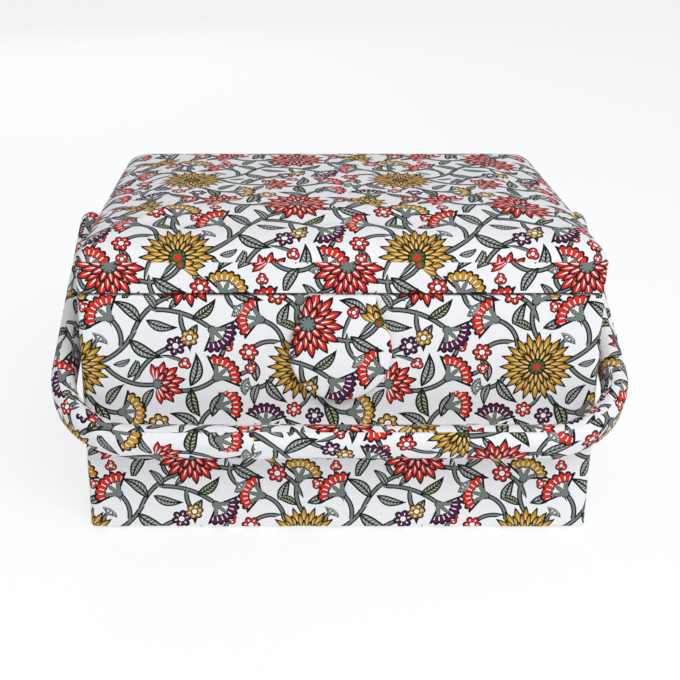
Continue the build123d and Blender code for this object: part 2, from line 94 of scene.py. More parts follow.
bpy.ops.object.select_all(action="DESELECT")
bpy.ops.object.camera_add(location=CAMERA_AT, rotation=(radians(90 - PITCH_DEG), 0, 0))
camera = bpy.context.object
camera.name = "camera"
camera.data.sensor_width = SENSOR_MM
camera.data.lens = SENSOR_MM * FOCAL_PX / PICTURE_PX
camera.data.shift_x = 0.5 - LENS_MIDDLE_PX[0] / PICTURE_PX
camera.data.shift_y = LENS_MIDDLE_PX[1] / PICTURE_PX - 0.5
bpy.context.scene.camera = camera
shift = [round(side, 3) for side in (camera.data.shift_x, camera.data.shift_y)]
print("lens", round(camera.data.lens, 1), "mm, shift", shift)

# %% [markdown]
# ## Floor and light
#
# A product like this is photographed on white paper with one large soft light in front. The front is
# then brighter than the lid's top. A white surrounding keeps the shadows pale, and a weaker light
# behind shows the back when the camera goes round.

# %% Floor and light
FLOOR_SIZE = 40.0
FLOOR_DROP = 0.2 * MM
FLOOR_WHITE = (0.28, 0.28, 0.28, 1.0)
FLOOR_ROUGH = 0.9
FLOOR_GLOW = 0.74
SKY_WHITE = (0.97, 0.985, 1.0, 1.0)
SKY_STRENGTH = 0.46
AIM = Vector((0, 0, case_high.z / 2))

bpy.context.scene.view_settings.view_transform = "Standard"
bpy.ops.object.select_all(action="DESELECT")
bpy.ops.mesh.primitive_plane_add(size=FLOOR_SIZE, location=(0, 0, -FLOOR_DROP))
floor = bpy.context.object
floor.name = "floor"
paper = bpy.data.materials.new("floor_paper")
paper.use_nodes = True
paper_inputs = paper.node_tree.nodes["Principled BSDF"].inputs
paper_inputs["Base Color"].default_value = FLOOR_WHITE
paper_inputs["Roughness"].default_value = FLOOR_ROUGH
paper_inputs["Emission Color"].default_value = SKY_WHITE
paper_inputs["Emission Strength"].default_value = FLOOR_GLOW
floor.data.materials.append(paper)

sky = bpy.data.worlds.new("studio")
sky.use_nodes = True
sky_inputs = sky.node_tree.nodes["Background"].inputs
sky_inputs["Color"].default_value = SKY_WHITE
sky_inputs["Strength"].default_value = SKY_STRENGTH
bpy.context.scene.world = sky


def softbox(name, azimuth, elevation, distance, size, watts):
    """A square area light aimed at the middle of the box; azimuth 0 is in front and 90 at the right."""
    turn, lift = radians(azimuth), radians(elevation)
    way = Vector((sin(turn) * cos(lift), -cos(turn) * cos(lift), sin(lift)))
    bpy.ops.object.light_add(type="AREA", location=AIM + way * distance)
    light = bpy.context.object
    light.name = name
    light.rotation_euler = (-way).to_track_quat("-Z", "Y").to_euler()
    light.data.size = size
    light.data.energy = watts
    return light


softbox("front_light", azimuth=22, elevation=42, distance=1.7, size=1.0, watts=18.6)
softbox("back_light", azimuth=200, elevation=30, distance=2.2, size=1.5, watts=7.5)
print("two lights and a white floor")

# %% [markdown]
# ## Short words for material nodes
#
# A material is a chain of nodes. Written out one by one, such a chain is hard to read, so this small
# class gives a short word to each kind: `math` for sums, `vec` for points, `paint` for laying one colour
# over another through a mask.


# %% Words for nodes
class Recipe:
    """Adds nodes to one material."""

    def __init__(self, name):
        self.material = bpy.data.materials.new(name)
        self.material.use_nodes = True
        self.tree = self.material.node_tree
        self.shader = self.tree.nodes["Principled BSDF"]

    def add(self, kind, inputs, out=0, **settings):
        node = self.tree.nodes.new(kind)
        for key, value in settings.items():
            setattr(node, key, value)
        for place, value in inputs.items():
            if isinstance(value, bpy.types.NodeSocket):
                self.tree.links.new(value, node.inputs[place])
            elif value is not None:
                node.inputs[place].default_value = value
        return node.outputs[out]

    def math(self, operation, a, b=None, c=None):
        return self.add("ShaderNodeMath", {0: a, 1: b, 2: c}, operation=operation)

    def less(self, a, b):
        return self.math("LESS_THAN", a, b)

    def more(self, a, b):
        return self.math("GREATER_THAN", a, b)

    def vec(self, operation, a, b=None, c=None):
        return self.add("ShaderNodeVectorMath", {0: a, 1: b, 2: c}, operation=operation)

    def measure(self, operation, a, b=None):
        return self.add("ShaderNodeVectorMath", {0: a, 1: b}, out="Value", operation=operation)

    def choose(self, factor, a, b):
        return self.add("ShaderNodeMix", {0: factor, 4: a, 5: b}, out=1, data_type="VECTOR")

    def paint(self, under, over, mask):
        colours = [c if isinstance(c, bpy.types.NodeSocket) else (*c, 1.0) for c in (under, over)]
        return self.add("ShaderNodeMix", {0: mask, 6: colours[0], 7: colours[1]}, out=2, data_type="RGBA")

    def split(self, point):
        node = self.tree.nodes.new("ShaderNodeSeparateXYZ")
        self.tree.links.new(point, node.inputs[0])
        return node.outputs

    def fold(self, a, count, shift=0.0):
        """0 in the middle of each of count petals and 0.5 between two of them."""
        return self.math("PINGPONG", self.math("MULTIPLY_ADD", a, count, shift), 0.5)

    def cloudy(self, point, scale, detail=2.0):
        """Smooth noise from 0 to 1."""
        return self.add("ShaderNodeTexNoise", {"Vector": point, "Scale": scale, "Detail": detail})

    def between(self, a, low, high):
        """a from 0 to 1 becomes low to high."""
        return self.math("MULTIPLY_ADD", a, high - low, low)

    def finish(self, colour, rough, height, bump_depth, fixed=None):
        """Links the colour, roughness and relief, and sets the sockets that are the same all over."""
        self.tree.links.new(colour, self.shader.inputs["Base Color"])
        self.tree.links.new(rough, self.shader.inputs["Roughness"])
        relief = self.add("ShaderNodeBump", {"Height": height, "Distance": bump_depth, "Strength": 1.0})
        self.tree.links.new(relief, self.shader.inputs["Normal"])
        for socket, value in (fixed or {}).items():
            self.shader.inputs[socket].default_value = value
        print(self.material.name, "has", len(self.tree.nodes), "nodes")
        return self.material


# %% [markdown]
# ## The printed pattern
#
# The cotton carries a trailing floral print in the old block-print manner: flowers in red, mustard and
# plum with dark outlines, grey-green leaves and stalks, on white. The print is drawn by nodes on the
# cloth's own flat measure, in millimetres, so it runs with the weave over every fold. One tile of
# 134 by 113 mm repeats. To draw a motif once and show it in many places, the nodes look for the
# nearest place of that motif and turn the cloth's point into the motif's own point.

# %% Dyes and the repeat
TILE = (134.0, 113.0)
HALF_TILE = (TILE[0] / 2, TILE[1] / 2, 1.0)
HALF_BACK = (-TILE[0] / 2, -TILE[1] / 2, -1.0)
INK = (0.010, 0.012, 0.012)
RED = (0.62, 0.026, 0.016)
MUSTARD = (0.48, 0.25, 0.020)
CREAM = (0.76, 0.63, 0.34)
PALE = (0.80, 0.77, 0.75)
SAGE = (0.155, 0.185, 0.175)
OLIVE = (0.066, 0.108, 0.028)
PLUM = (0.080, 0.010, 0.066)
GROUND = (0.775, 0.775, 0.795)


def nearest(r, cloth, places):
    """The motif's own point, its distance from the middle and the settings, at the nearest place."""
    point = distance = settings = None
    for x, y, heading, size, facts in places:
        step = r.vec("WRAP", r.vec("SUBTRACT", cloth, (x, y, 0.0)), HALF_TILE, HALF_BACK)
        turn = {0: step, 3: radians(90.0 - heading)}
        here = r.add("ShaderNodeVectorRotate", turn, rotation_type="Z_AXIS")
        here = r.vec("MULTIPLY", here, (1.0 / size, 1.0 / abs(size), 0.0))
        away = r.measure("LENGTH", here)
        if point is None:
            point, distance, settings = here, away, facts
            continue
        nearer = r.less(away, distance)
        point = r.choose(nearer, point, here)
        settings = r.choose(nearer, settings, facts)
        distance = r.math("MINIMUM", distance, away)
    return point, distance, settings


def dye(r, number):
    """0 is red, 1 plum, 2 mustard and 3 grey-green."""
    colour = r.paint(RED, PLUM, r.more(number, 0.5))
    colour = r.paint(colour, MUSTARD, r.more(number, 1.5))
    return r.paint(colour, SAGE, r.more(number, 2.5))


def way_round(r, point):
    """The angle from the motif's upward axis, in radians."""
    x, y, _ = r.split(point)
    return r.math("ARCTAN2", x, y)


# %% [markdown]
# ### Flower heads
#
# Dahlias are three rings of pointed petals. A lotus is the same flower seen from the side: shorter at
# its flanks, and without the petals that would point down along the stalk.

# %% Flower heads
PETAL_CURVE = 1.15
WEDGE_WIDTH, WEDGE_TAPER = 0.33, 0.42
EDGE_SHARE, GAP_SHARE = 2.2, 0.09
FAR_OUT = 9.0
LOTUS_FLANK = 0.24
EYE, EYE_OUTLINE = 0.20, 0.235


def petal_ring(r, under, distance, turn, side, look, ring):
    """One ring of outlined petals, each with a pale wedge. A lotus keeps reach petals on each side."""
    colour, wedge_colour = look
    count, shift, reach, tip, dip, line = ring
    across = r.fold(turn, count, shift)
    edge = r.math("MULTIPLY_ADD", r.math("POWER", across, PETAL_CURVE), -dip * 2**PETAL_CURVE, tip)
    inside = r.math("SUBTRACT", edge, distance)
    below = r.more(r.math("MULTIPLY", r.math("ABSOLUTE", turn), count), reach)
    inside = r.math("MULTIPLY_ADD", r.math("MULTIPLY", below, side), -FAR_OUT, inside)
    gap = r.math("MULTIPLY", r.math("SUBTRACT", 0.5, across), distance)
    gap = r.less(gap, r.math("MULTIPLY", count, line * GAP_SHARE))
    wedge = r.less(across, r.math("MULTIPLY_ADD", distance, -WEDGE_TAPER / tip, WEDGE_WIDTH))
    colour = r.paint(colour, wedge_colour, wedge)
    colour = r.paint(colour, INK, r.math("MAXIMUM", r.less(inside, line * EDGE_SHARE), gap))
    return r.paint(under, colour, r.more(inside, 0.0))


def flower_heads(r, cloth, under, places):
    """Settings: number of petals, 1 for a lotus, 1 for red."""
    point, distance, settings = nearest(r, cloth, places)
    count, side, redness = r.split(settings)
    angle = way_round(r, point)
    flank = r.math("MULTIPLY_ADD", r.math("COSINE", angle), LOTUS_FLANK, -LOTUS_FLANK)
    distance = r.math("DIVIDE", distance, r.math("MULTIPLY_ADD", flank, side, 1.0))
    turn = r.math("DIVIDE", angle, 2 * pi)
    look = (r.paint(MUSTARD, RED, redness), r.paint(CREAM, PALE, redness))
    few = r.math("SUBTRACT", count, 4.0)
    # Each ring: petals, shift, petals on each side of a lotus, tip, dip between petals, line
    rings = (
        (count, 0.0, 3.5, 1.0, 0.36, 0.046),
        (count, 0.5, 3.0, 0.80, 0.30, 0.044),
        (few, 0.0, 1.5, 0.57, 0.22, 0.042),
    )
    for ring in rings:
        under = petal_ring(r, under, distance, turn, side, look, ring)
    eye = r.paint(OLIVE, RED, r.less(distance, 0.09))
    eye = r.paint(eye, SAGE, redness)
    spokes = r.math("MULTIPLY", r.less(r.fold(turn, 9.0), 0.14), r.more(distance, 0.13))
    eye = r.paint(eye, INK, spokes)
    under = r.paint(under, INK, r.less(distance, EYE_OUTLINE))
    return r.paint(under, eye, r.less(distance, EYE))


# %% [markdown]
# ### Fans, small blossoms, leaves and stalks
#
# A fan is a pink seen from the side, with a scalloped edge and three sepals. Blossoms are small and
# round. A leaf is a lens bent along its rib, with veins as a repeated stripe. A stalk is part of a
# circle, so its distance to a point is one subtraction.

# %% Fans
SCALLOPS = 3.4
SEPALS = 1.25
FAN_SPREAD = 1.18
FAN_OUTLINE = 0.095


def fan_flowers(r, cloth, under, places):
    """Settings: dye."""
    point, distance, settings = nearest(r, cloth, places)
    number, _, _ = r.split(settings)
    angle = way_round(r, point)
    wide = r.math("ABSOLUTE", angle)
    scallop = r.fold(angle, SCALLOPS)
    rim = r.math("MULTIPLY_ADD", r.math("POWER", scallop, 2.0), -0.42, 1.0)
    flank = r.math("MULTIPLY", r.math("SUBTRACT", FAN_SPREAD, wide), distance)
    inside = r.math("MINIMUM", r.math("SUBTRACT", rim, distance), flank)
    slit = r.less(r.fold(angle, SCALLOPS, 0.5), 0.12)
    tick = r.math("MULTIPLY", slit, r.math("COMPARE", distance, 0.66, 0.12))
    body = r.paint(dye(r, number), PALE, tick)
    throat = r.math("MULTIPLY_ADD", scallop, 0.12, 0.48)
    body = r.paint(body, INK, r.less(distance, r.math("ADD", throat, 0.06)))
    body = r.paint(body, PALE, r.less(distance, throat))
    body = r.paint(body, INK, r.less(inside, FAN_OUTLINE))
    under = r.paint(under, body, r.more(inside, 0.0))
    sepal = r.math("SUBTRACT", r.math("MULTIPLY_ADD", r.fold(angle, SEPALS), -0.95, 0.66), distance)
    sepal = r.math("MAXIMUM", sepal, r.math("SUBTRACT", 0.24, distance))
    sepal = r.math("MULTIPLY_ADD", r.more(wide, 1.30), -0.42, sepal)
    sepal = r.math("MAXIMUM", sepal, r.math("SUBTRACT", 0.17, distance))
    leafy = r.paint(SAGE, INK, r.less(sepal, 0.05))
    return r.paint(under, leafy, r.more(sepal, 0.0))


# %% Blossoms, leaves and stalks
BLOSSOM_OUTLINE, BLOSSOM_EYE, BLOSSOM_EYE_OUTLINE = 0.18, 0.28, 0.41
LEAF_BOW, LEAF_OUTLINE, LEAF_RIB = 0.22, 0.10, 0.05
VEINS, VEIN_WIDTH = 4.6, 0.09
STALK_HALF, STALK_OUTLINE = 1.55, 0.85


def blossoms(r, cloth, under, places):
    """Settings: dye, number of lobes."""
    point, distance, settings = nearest(r, cloth, places)
    number, lobes, _ = r.split(settings)
    turn = r.math("DIVIDE", way_round(r, point), 2 * pi)
    across = r.fold(turn, lobes)
    inside = r.math("SUBTRACT", r.math("MULTIPLY_ADD", r.math("POWER", across, 2.2), -1.3, 1.0), distance)
    streak = r.math("MULTIPLY", r.less(across, 0.10), r.less(distance, 0.66))
    colour = r.paint(dye(r, number), PALE, streak)
    inked = r.math("MAXIMUM", r.less(inside, BLOSSOM_OUTLINE), r.less(distance, BLOSSOM_EYE_OUTLINE))
    colour = r.paint(colour, INK, inked)
    colour = r.paint(colour, PALE, r.less(distance, BLOSSOM_EYE))
    return r.paint(under, colour, r.more(inside, 0.0))


def leaves(r, cloth, under, places):
    """Settings: 1 for the darker green."""
    point, _, settings = nearest(r, cloth, places)
    dark, _, _ = r.split(settings)
    x, y, _ = r.split(point)
    bow = r.math("MULTIPLY", y, y)
    x = r.math("ABSOLUTE", r.math("MULTIPLY_ADD", bow, LEAF_BOW, x))
    half = r.math("MULTIPLY", r.math("SUBTRACT", 1.0, bow), r.math("MULTIPLY_ADD", y, -0.13, 0.33))
    inside = r.math("SUBTRACT", half, x)
    vein = r.less(r.fold(r.math("MULTIPLY_ADD", x, -0.9, y), VEINS), VEIN_WIDTH)
    vein = r.math("MULTIPLY", vein, r.more(inside, 0.12))
    colour = r.paint(r.paint(SAGE, OLIVE, dark), PALE, vein)
    inked = r.math("MAXIMUM", r.less(x, LEAF_RIB), r.less(inside, LEAF_OUTLINE))
    colour = r.paint(colour, INK, inked)
    return r.paint(under, colour, r.more(inside, 0.0))


def stalks(r, cloth, under, arcs):
    """Each arc is its middle, radius, the way it faces and half its spread."""
    distance = None
    for x, y, radius, facing, spread in arcs:
        out = (radius * cos(facing), radius * sin(facing), 0.0)
        step = r.vec("SUBTRACT", cloth, (x + out[0], y + out[1], 0.0))
        step = r.vec("ADD", r.vec("WRAP", step, HALF_TILE, HALF_BACK), out)
        off = r.math("ABSOLUTE", r.math("SUBTRACT", r.measure("LENGTH", step), radius))
        beyond = r.less(r.measure("DOT_PRODUCT", step, out), radius * radius * cos(spread))
        off = r.math("MULTIPLY_ADD", beyond, TILE[0], off)
        distance = off if distance is None else r.math("MINIMUM", distance, off)
    under = r.paint(under, INK, r.less(distance, STALK_HALF))
    return r.paint(under, SAGE, r.less(distance, STALK_HALF - STALK_OUTLINE))


# %% [markdown]
# ### The layout
#
# Two dahlias carry the tile. Each spray starts on a stalk or a flower and ends in a motif, which points
# the way its stalk ends. The bulge says how far the stalk's middle stands off the straight line.

# %% Sprays and leaves
GOLD_DAHLIA = (34, 31, 90.0, 22.0, (20.0, 0.0, 0.0))
RED_DAHLIA = (101, 88, 98.0, 21.0, (14.0, 0.0, 1.0))
RED_LOTUS = (12.0, 1.0, 1.0)
GOLD_LOTUS = (12.0, 1.0, 0.0)
RED_FAN, PLUM_FAN, GOLD_FAN, BUD = [(number, 0.0, 0.0) for number in range(4)]
RED_BLOSSOM, PLUM_BLOSSOM, GOLD_BLOSSOM = [(number, 6.0, 0.0) for number in range(3)]
BERRY = (0.0, 3.0, 0.0)

# Each spray: start, end, bulge, motif, size in millimetres, settings
SPRAYS = (
    ((34, 31), (70, 52), -6, None, 0, None),
    ((70, 52), (98, 76), 5, None, 0, None),
    ((52, 33), (82, 20), -5, "head", 17.5, RED_LOTUS),
    ((84, 90), (58, 92), 6, "head", 17.5, RED_LOTUS),
    ((116, 80), (141, 88), -5, "head", 16.5, GOLD_LOTUS),
    ((62, 42), (57, 61), -3, "fan", 15.5, RED_FAN),
    ((80, 66), (115, 54), 4, "fan", 14.5, PLUM_FAN),
    ((22, 42), (9, 60), -4, "fan", 15.0, RED_FAN),
    ((34, 48), (31, 71), 3, "fan", 15.0, GOLD_FAN),
    ((42, 14), (61, 2), -4, "fan", 15.0, GOLD_FAN),
    ((106, 102), (118, 119), 3, "fan", 14.5, RED_FAN),
    ((82, 20), (117, 24), -6, "fan", 15.0, RED_FAN),
    ((131, 83), (145, 108), -3, "fan", 13.5, PLUM_FAN),
    ((90, 73), (84, 82), 2, "fan", 6.5, BUD),
    ((48, 35), (49, 47), 2, "fan", 6.5, BUD),
    ((124, 81), (128, 68), -2, "fan", 6.5, BUD),
    ((16, 26), (3, 18), 3, "fan", 6.5, BUD),
    ((70, 22), (94, 44), 4, "blossom", 6.2, PLUM_BLOSSOM),
    ((58, 92), (36, 98), -4, "blossom", 6.4, RED_BLOSSOM),
    ((45, 99), (40, 113), 3, "blossom", 5.6, PLUM_BLOSSOM),
    ((19, 46), (2, 40), -3, "blossom", 5.8, RED_BLOSSOM),
    ((98, 64), (102, 49), -2, "blossom", 5.6, GOLD_BLOSSOM),
    ((57, 61), (42, 68), 2, "blossom", 3.8, BERRY),
    ((57, 61), (53, 80), 1, "blossom", 3.8, BERRY),
    ((117, 24), (124, 44), 2, "blossom", 3.8, BERRY),
    ((117, 24), (137, 30), -2, "blossom", 3.8, BERRY),
    ((79, 91), (83, 108), 3, "blossom", 6.6, GOLD_BLOSSOM),
    ((32, 60), (18, 75), -3, "blossom", 6.2, RED_BLOSSOM),
    ((122, 82), (127, 95), 1, "blossom", 4.0, BERRY),
    ((88, 37), (99, 33), 1, "blossom", 4.0, BERRY),
    ((36, 12), (28, 4), 1, "blossom", 5.0, RED_BLOSSOM),
)

# Each leaf: base x and y, the way it points in degrees, half its length, 1 for the darker green
LEAVES = (
    (66, 46, -30, 11.5, 0), (76, 60, 140, 10.5, 0), (92, 66, 60, 7.0, 0), (31, 55, 160, 8.0, 1),
    (37, 53, 35, 10.0, 0), (19, 53, 75, -10.0, 0), (72, 88, -115, 10.0, 0), (74, 89, 85, 11.0, 0),
    (124, 79, -25, 11.0, 0), (48, 9, -75, -11.0, 1), (104, 18, 80, 11.0, 0), (100, 17, -75, 11.0, 1),
    (108, 106, 150, 10.5, 0), (42, 99, -140, 10.5, 0), (8, 22, 110, 9.0, 0), (10, 22, -50, 10.0, 0),
    (67, 23, 65, 8.0, 0), (112, 113, 60, -10.0, 0), (140, 98, 35, 9.0, 1), (105, 58, -105, 9.0, 0),
    (77, 58, -14, 9.5, 0), (136, 95, 152, 9.5, 0), (105, 59, 42, 9.5, 1), (51, 7, 52, -9.0, 0),
    (85, 67, 128, 7.5, 0), (37, 101, 150, -9.5, 1), (6, 21, -100, 7.5, 0), (79, 18, -112, 8.0, 0),
    (50, 94, -150, 7.5, 0), (58, 31, 22, 6.0, 0), (80, 104, 150, 7.5, 1), (12, 84, -35, 6.5, 0),
)


def stalk_arc(start, end, bulge):
    """The stalk's arc, and the way it points at its end in degrees."""
    dx, dy = end[0] - start[0], end[1] - start[1]
    chord = hypot(dx, dy)
    half = 2 * atan(2 * bulge / chord)
    radius = abs(chord / 2 / sin(half))
    side = 1 if bulge > 0 else -1
    normal = (-dy / chord * side, dx / chord * side)
    back = radius - abs(bulge)
    x = (start[0] + end[0]) / 2 - normal[0] * back
    y = (start[1] + end[1]) / 2 - normal[1] * back
    arc = (x, y, radius, atan2(normal[1], normal[0]), abs(half))
    return arc, degrees(atan2(dy, dx) - half)


def draw_print(r, cloth):
    """The whole print, from the ground up to the flower heads."""
    arcs = []
    motifs = {"head": [GOLD_DAHLIA, RED_DAHLIA], "fan": [], "blossom": []}
    for start, end, bulge, motif, size, settings in SPRAYS:
        arc, heading = stalk_arc(start, end, bulge)
        arcs.append(arc)
        if motif:
            motifs[motif].append((*end, heading, size, settings))
    spread = []
    for x, y, heading, half, dark in LEAVES:
        way = radians(heading)
        spread.append((x + abs(half) * cos(way), y + abs(half) * sin(way), heading, half, (dark, 0.0, 0.0)))
    colour = stalks(r, cloth, GROUND, arcs)
    colour = leaves(r, cloth, colour, spread)
    colour = blossoms(r, cloth, colour, motifs["blossom"])
    colour = fan_flowers(r, cloth, colour, motifs["fan"])
    return flower_heads(r, cloth, colour, motifs["head"])


# %% [markdown]
# ## Cotton
#
# Both cottons are a plain weave. The threads cross under and over about twice in a millimetre, and some
# are thicker than others, which shows as faint short streaks along and across the cloth. The weave is
# relief only, and the streaks also change the colour a little.

# %% Cottons
THREAD_MM = 0.5
STREAK_FINE, STREAK_LONG = 2.2, 0.10
STREAK_RELIEF = 0.35
WEAVE_DEPTH = 0.12 * MM
LINING_CREAM = (0.74, 0.66, 0.50)
LINING_SPECK = (0.60, 0.50, 0.34)
CLOTH_MAP = "cloth"


def cotton(name, draw, sheen):
    """A woven cloth whose colour draw(recipe, point in millimetres) gives."""
    r = Recipe(name)
    spot = r.add("ShaderNodeUVMap", {}, uv_map=CLOTH_MAP)
    cloth = r.vec("MULTIPLY", spot, (1 / MM, 1 / MM, 0.0))
    colour = draw(r, cloth)
    warp_streak = r.cloudy(r.vec("MULTIPLY", cloth, (STREAK_FINE, STREAK_LONG, 0.0)), 1.0)
    weft_streak = r.cloudy(r.vec("MULTIPLY", cloth, (STREAK_LONG, STREAK_FINE, 0.0)), 1.0)
    streak = r.math("ADD", warp_streak, weft_streak)
    shade = r.between(streak, 0.90, 1.0)
    colour = r.vec("SCALE", colour)
    r.tree.links.new(shade, colour.node.inputs["Scale"])
    x, y, _ = r.split(cloth)
    warp = r.fold(x, 1 / THREAD_MM)
    weft = r.fold(y, 1 / THREAD_MM)
    height = r.math("MULTIPLY_ADD", streak, STREAK_RELIEF, r.math("MULTIPLY", warp, weft))
    rough = r.between(warp_streak, 0.78, 0.92)
    fixed = {"Sheen Weight": sheen, "Sheen Roughness": 0.45, "Specular IOR Level": 0.12}
    return r.finish(colour, rough, height, WEAVE_DEPTH, fixed)


def draw_lining(r, cloth):
    """Unprinted cream cotton with a few darker specks."""
    specks = r.more(r.cloudy(cloth, 0.8), 0.70)
    return r.paint(LINING_CREAM, LINING_SPECK, specks)


PRINTED = cotton("floral_cotton", draw_print, 0.03)
LINING = cotton("cream_cotton", draw_lining, 0.06)

# %% [markdown]
# ## Helpers for cloth
#
# A sheet starts as a grid. Every corner of the grid is then put where the cloth lies, and the same
# corner's spot on the flat cloth is kept in a UV map, in metres, for the print. Solidify gives the
# sheet its thickness towards the board, so the outside stays where it was put.

# %% Grid, thickness and dressing
CLOTH_T = 0.5 * MM
SMOOTH_DEG = 50.0


def cloth_grid(name, across, along, place):
    """A grid of across by along cells. place(i, j) gives a corner's point and its spot on the cloth."""
    bpy.ops.object.select_all(action="DESELECT")
    bpy.ops.mesh.primitive_grid_add(x_subdivisions=across, y_subdivisions=along, size=1.0)
    piece = bpy.context.object
    piece.name = piece.data.name = name
    mesh = piece.data
    flat = np.empty(len(mesh.vertices) * 3)
    mesh.vertices.foreach_get("co", flat)
    cells = np.rint((flat.reshape(-1, 3)[:, :2] + 0.5) * (across, along)).astype(int)
    made = [place(i, j) for i, j in cells.tolist()]
    mesh.vertices.foreach_set("co", np.array([point for point, _ in made], dtype=float).ravel())
    spots = np.array([spot for _, spot in made], dtype=float)
    corners = np.empty(len(mesh.loops), dtype=int)
    mesh.loops.foreach_get("vertex_index", corners)
    mesh.uv_layers.active.name = CLOTH_MAP
    mesh.uv_layers[CLOTH_MAP].data.foreach_set("uv", spots[corners].ravel())
    mesh.update()
    return piece


def thicken(piece, thickness=CLOTH_T):
    """Gives a sheet its thickness behind its face."""
    solidify = piece.modifiers.new("thickness", "SOLIDIFY")
    solidify.thickness = thickness
    solidify.offset = -1.0
    bpy.ops.object.modifier_apply(modifier=solidify.name)


def dress(piece, material, slot, body, *nodes):
    """Gives a finished piece its material, attaches it to its body and hides the CAD nodes that it stands for."""
    piece.data.materials.clear()
    piece.data.materials.append(material)
    bpy.ops.object.shade_smooth_by_angle(angle=radians(SMOOTH_DEG))
    if body:
        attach(piece, body)
    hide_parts(*nodes)
    print(piece.name, "has", len(piece.data.polygons), "faces")


def ripple(point, size):
    """Smooth noise from -1 to 1 whose hills are about size apart."""
    return noise.noise(Vector(point) / size)


def ease(share):
    """0 before 0, 1 after 1 and smooth between."""
    share = min(max(share, 0.0), 1.0)
    return share * share * (3 - 2 * share)


def rounded_path(corners, radii, spacing):
    """Points along straight runs joined by round bends, at most spacing apart, and their lengths."""
    points = [Vector(corners[0])]

    def run_to(end):
        start = points[-1]
        steps = max(1, round((end - start).length / spacing))
        points.extend(start.lerp(end, k / steps) for k in range(1, steps + 1))

    for before, corner, after, radius in zip(corners, corners[1:], corners[2:], radii):
        corner = Vector(corner)
        back = (Vector(before) - corner).normalized()
        on = (Vector(after) - corner).normalized()
        half = back.angle(on) / 2
        run_to(corner + back * radius / tan(half))
        middle = corner + (back + on).normalized() * radius / sin(half)
        first = points[-1] - middle
        last = corner + on * radius / tan(half) - middle
        steps = max(6, round(radius * (pi - 2 * half) / spacing))
        points.extend(middle + first.slerp(last, k / steps) * radius for k in range(1, steps + 1))
    run_to(Vector(corners[-1]))
    lengths = [0.0]
    for start, end in zip(points, points[1:]):
        lengths.append(lengths[-1] + (end - start).length)
    return points, lengths


# %% [markdown]
# ## Cloth that goes round the box
#
# The case and the lid's band are each covered by one long strip. It goes right round, its end laps over
# its start at a back corner, and its long edges are turned in over the board. So the sheet is a profile,
# which is the way from one turned edge to the other, carried round a rounded rectangle.

# %% A strip that goes round
LEAST_CORNER = 0.5 * MM
BEND_STEPS = 6


def ring_stations(width, depth, radius, spacing):
    """Stations from the back's right end, anticlockwise from above: side, share, bend and length."""
    stations = []
    length = 0.0
    for side in range(4):
        run = (width, depth)[side % 2] - 2 * radius
        steps = round(run / spacing)
        stations.extend((side, 2 * k / steps - 1, 0.0, length + run * k / steps) for k in range(steps))
        length += run
        turn = radius * pi / 2
        bends = [k / BEND_STEPS for k in range(BEND_STEPS)]
        stations.extend((side, 1.0, bend * pi / 2, length + turn * bend) for bend in bends)
        length += turn
    return stations, length


def ring_point(station, width, depth, radius, inset):
    """The place of a station in plan, inset from the rounded rectangle, and the way outwards."""
    side, share, bend, _ = station
    across, out = (width, depth) if side % 2 == 0 else (depth, width)
    corner = max(radius - inset, LEAST_CORNER)
    x = share * (across / 2 - inset - corner) + corner * sin(bend)
    y = -(out / 2 - inset - corner) - corner * cos(bend)
    way = Vector((sin(bend), -cos(bend)))
    place = Vector((x, y))
    for _ in range((side + 2) % 4):
        place = Vector((-place.y, place.x))
        way = Vector((-way.y, way.x))
    return place, way


def strip_round(name, size, profile, spacing, lap, lap_lift, inward=False, soften=None, print_at=(0, 0)):
    """A strip of cloth carried round the box. soften(spot, z, inset) moves a point outwards and up."""
    width, depth, radius = size
    stations, round_it = ring_stations(width, depth, radius, spacing)
    lapped = [(*s[:3], s[3] + round_it) for s in stations if s[3] <= lap]
    stations += lapped
    if inward:
        stations.reverse()
    points, lengths = profile

    def place(i, j):
        station = stations[i]
        inset, z = points[j]
        spot, way = ring_point(station, width, depth, radius, inset)
        lift = lap_lift * ease((station[3] - round_it + lap) / lap)
        out, up = soften(spot, z, inset) if soften else (0.0, 0.0)
        spot = spot + way * (out + (-lift if inward else lift))
        along = -station[3] if inward else station[3]
        return (spot.x, spot.y, z + up), (along + print_at[0], lengths[j] + print_at[1])

    piece = cloth_grid(name, len(stations) - 1, len(points) - 1, place)
    thicken(piece)
    return piece, (stations[0][3] if inward else stations[-1][3], lengths[-1])


# %% [markdown]
# ## The case's cover
#
# The strip is turned 15 mm under the base and a few millimetres in over the rim. It is glued to the
# board, so it lies nearly flat, but glued cloth is never quite even: the wall waves by a fraction of a
# millimetre, and the folded bottom edge wanders a little.

# %% Cover of the case
CORNER_R = 4 * MM
FOLD_R = 0.8 * MM
HEM = 15 * MM
RIM_TURN = 5.8 * MM
WALL_STEP = 5 * MM
LAP = 10 * MM
LAP_LIFT = 0.6 * MM
WALL_WAVE, WALL_WAVE_L = 0.22 * MM, 45 * MM
EDGE_WAVE, EDGE_WAVE_L, EDGE_ZONE = 0.35 * MM, 16 * MM, 8 * MM
CASE_PRINT = (52 * MM, 24 * MM)


def case_wave(spot, z, inset):
    """The glued wall's unevenness, and the wandering of the fold at the bottom."""
    point = (spot.x, spot.y, z)
    out = -WALL_WAVE * (0.5 + ripple(point, WALL_WAVE_L)) if inset < FOLD_R else 0.0
    near_edge = ease(1 - (z - case_low.z) / EDGE_ZONE)
    return out, EDGE_WAVE * ripple(point, EDGE_WAVE_L) * near_edge


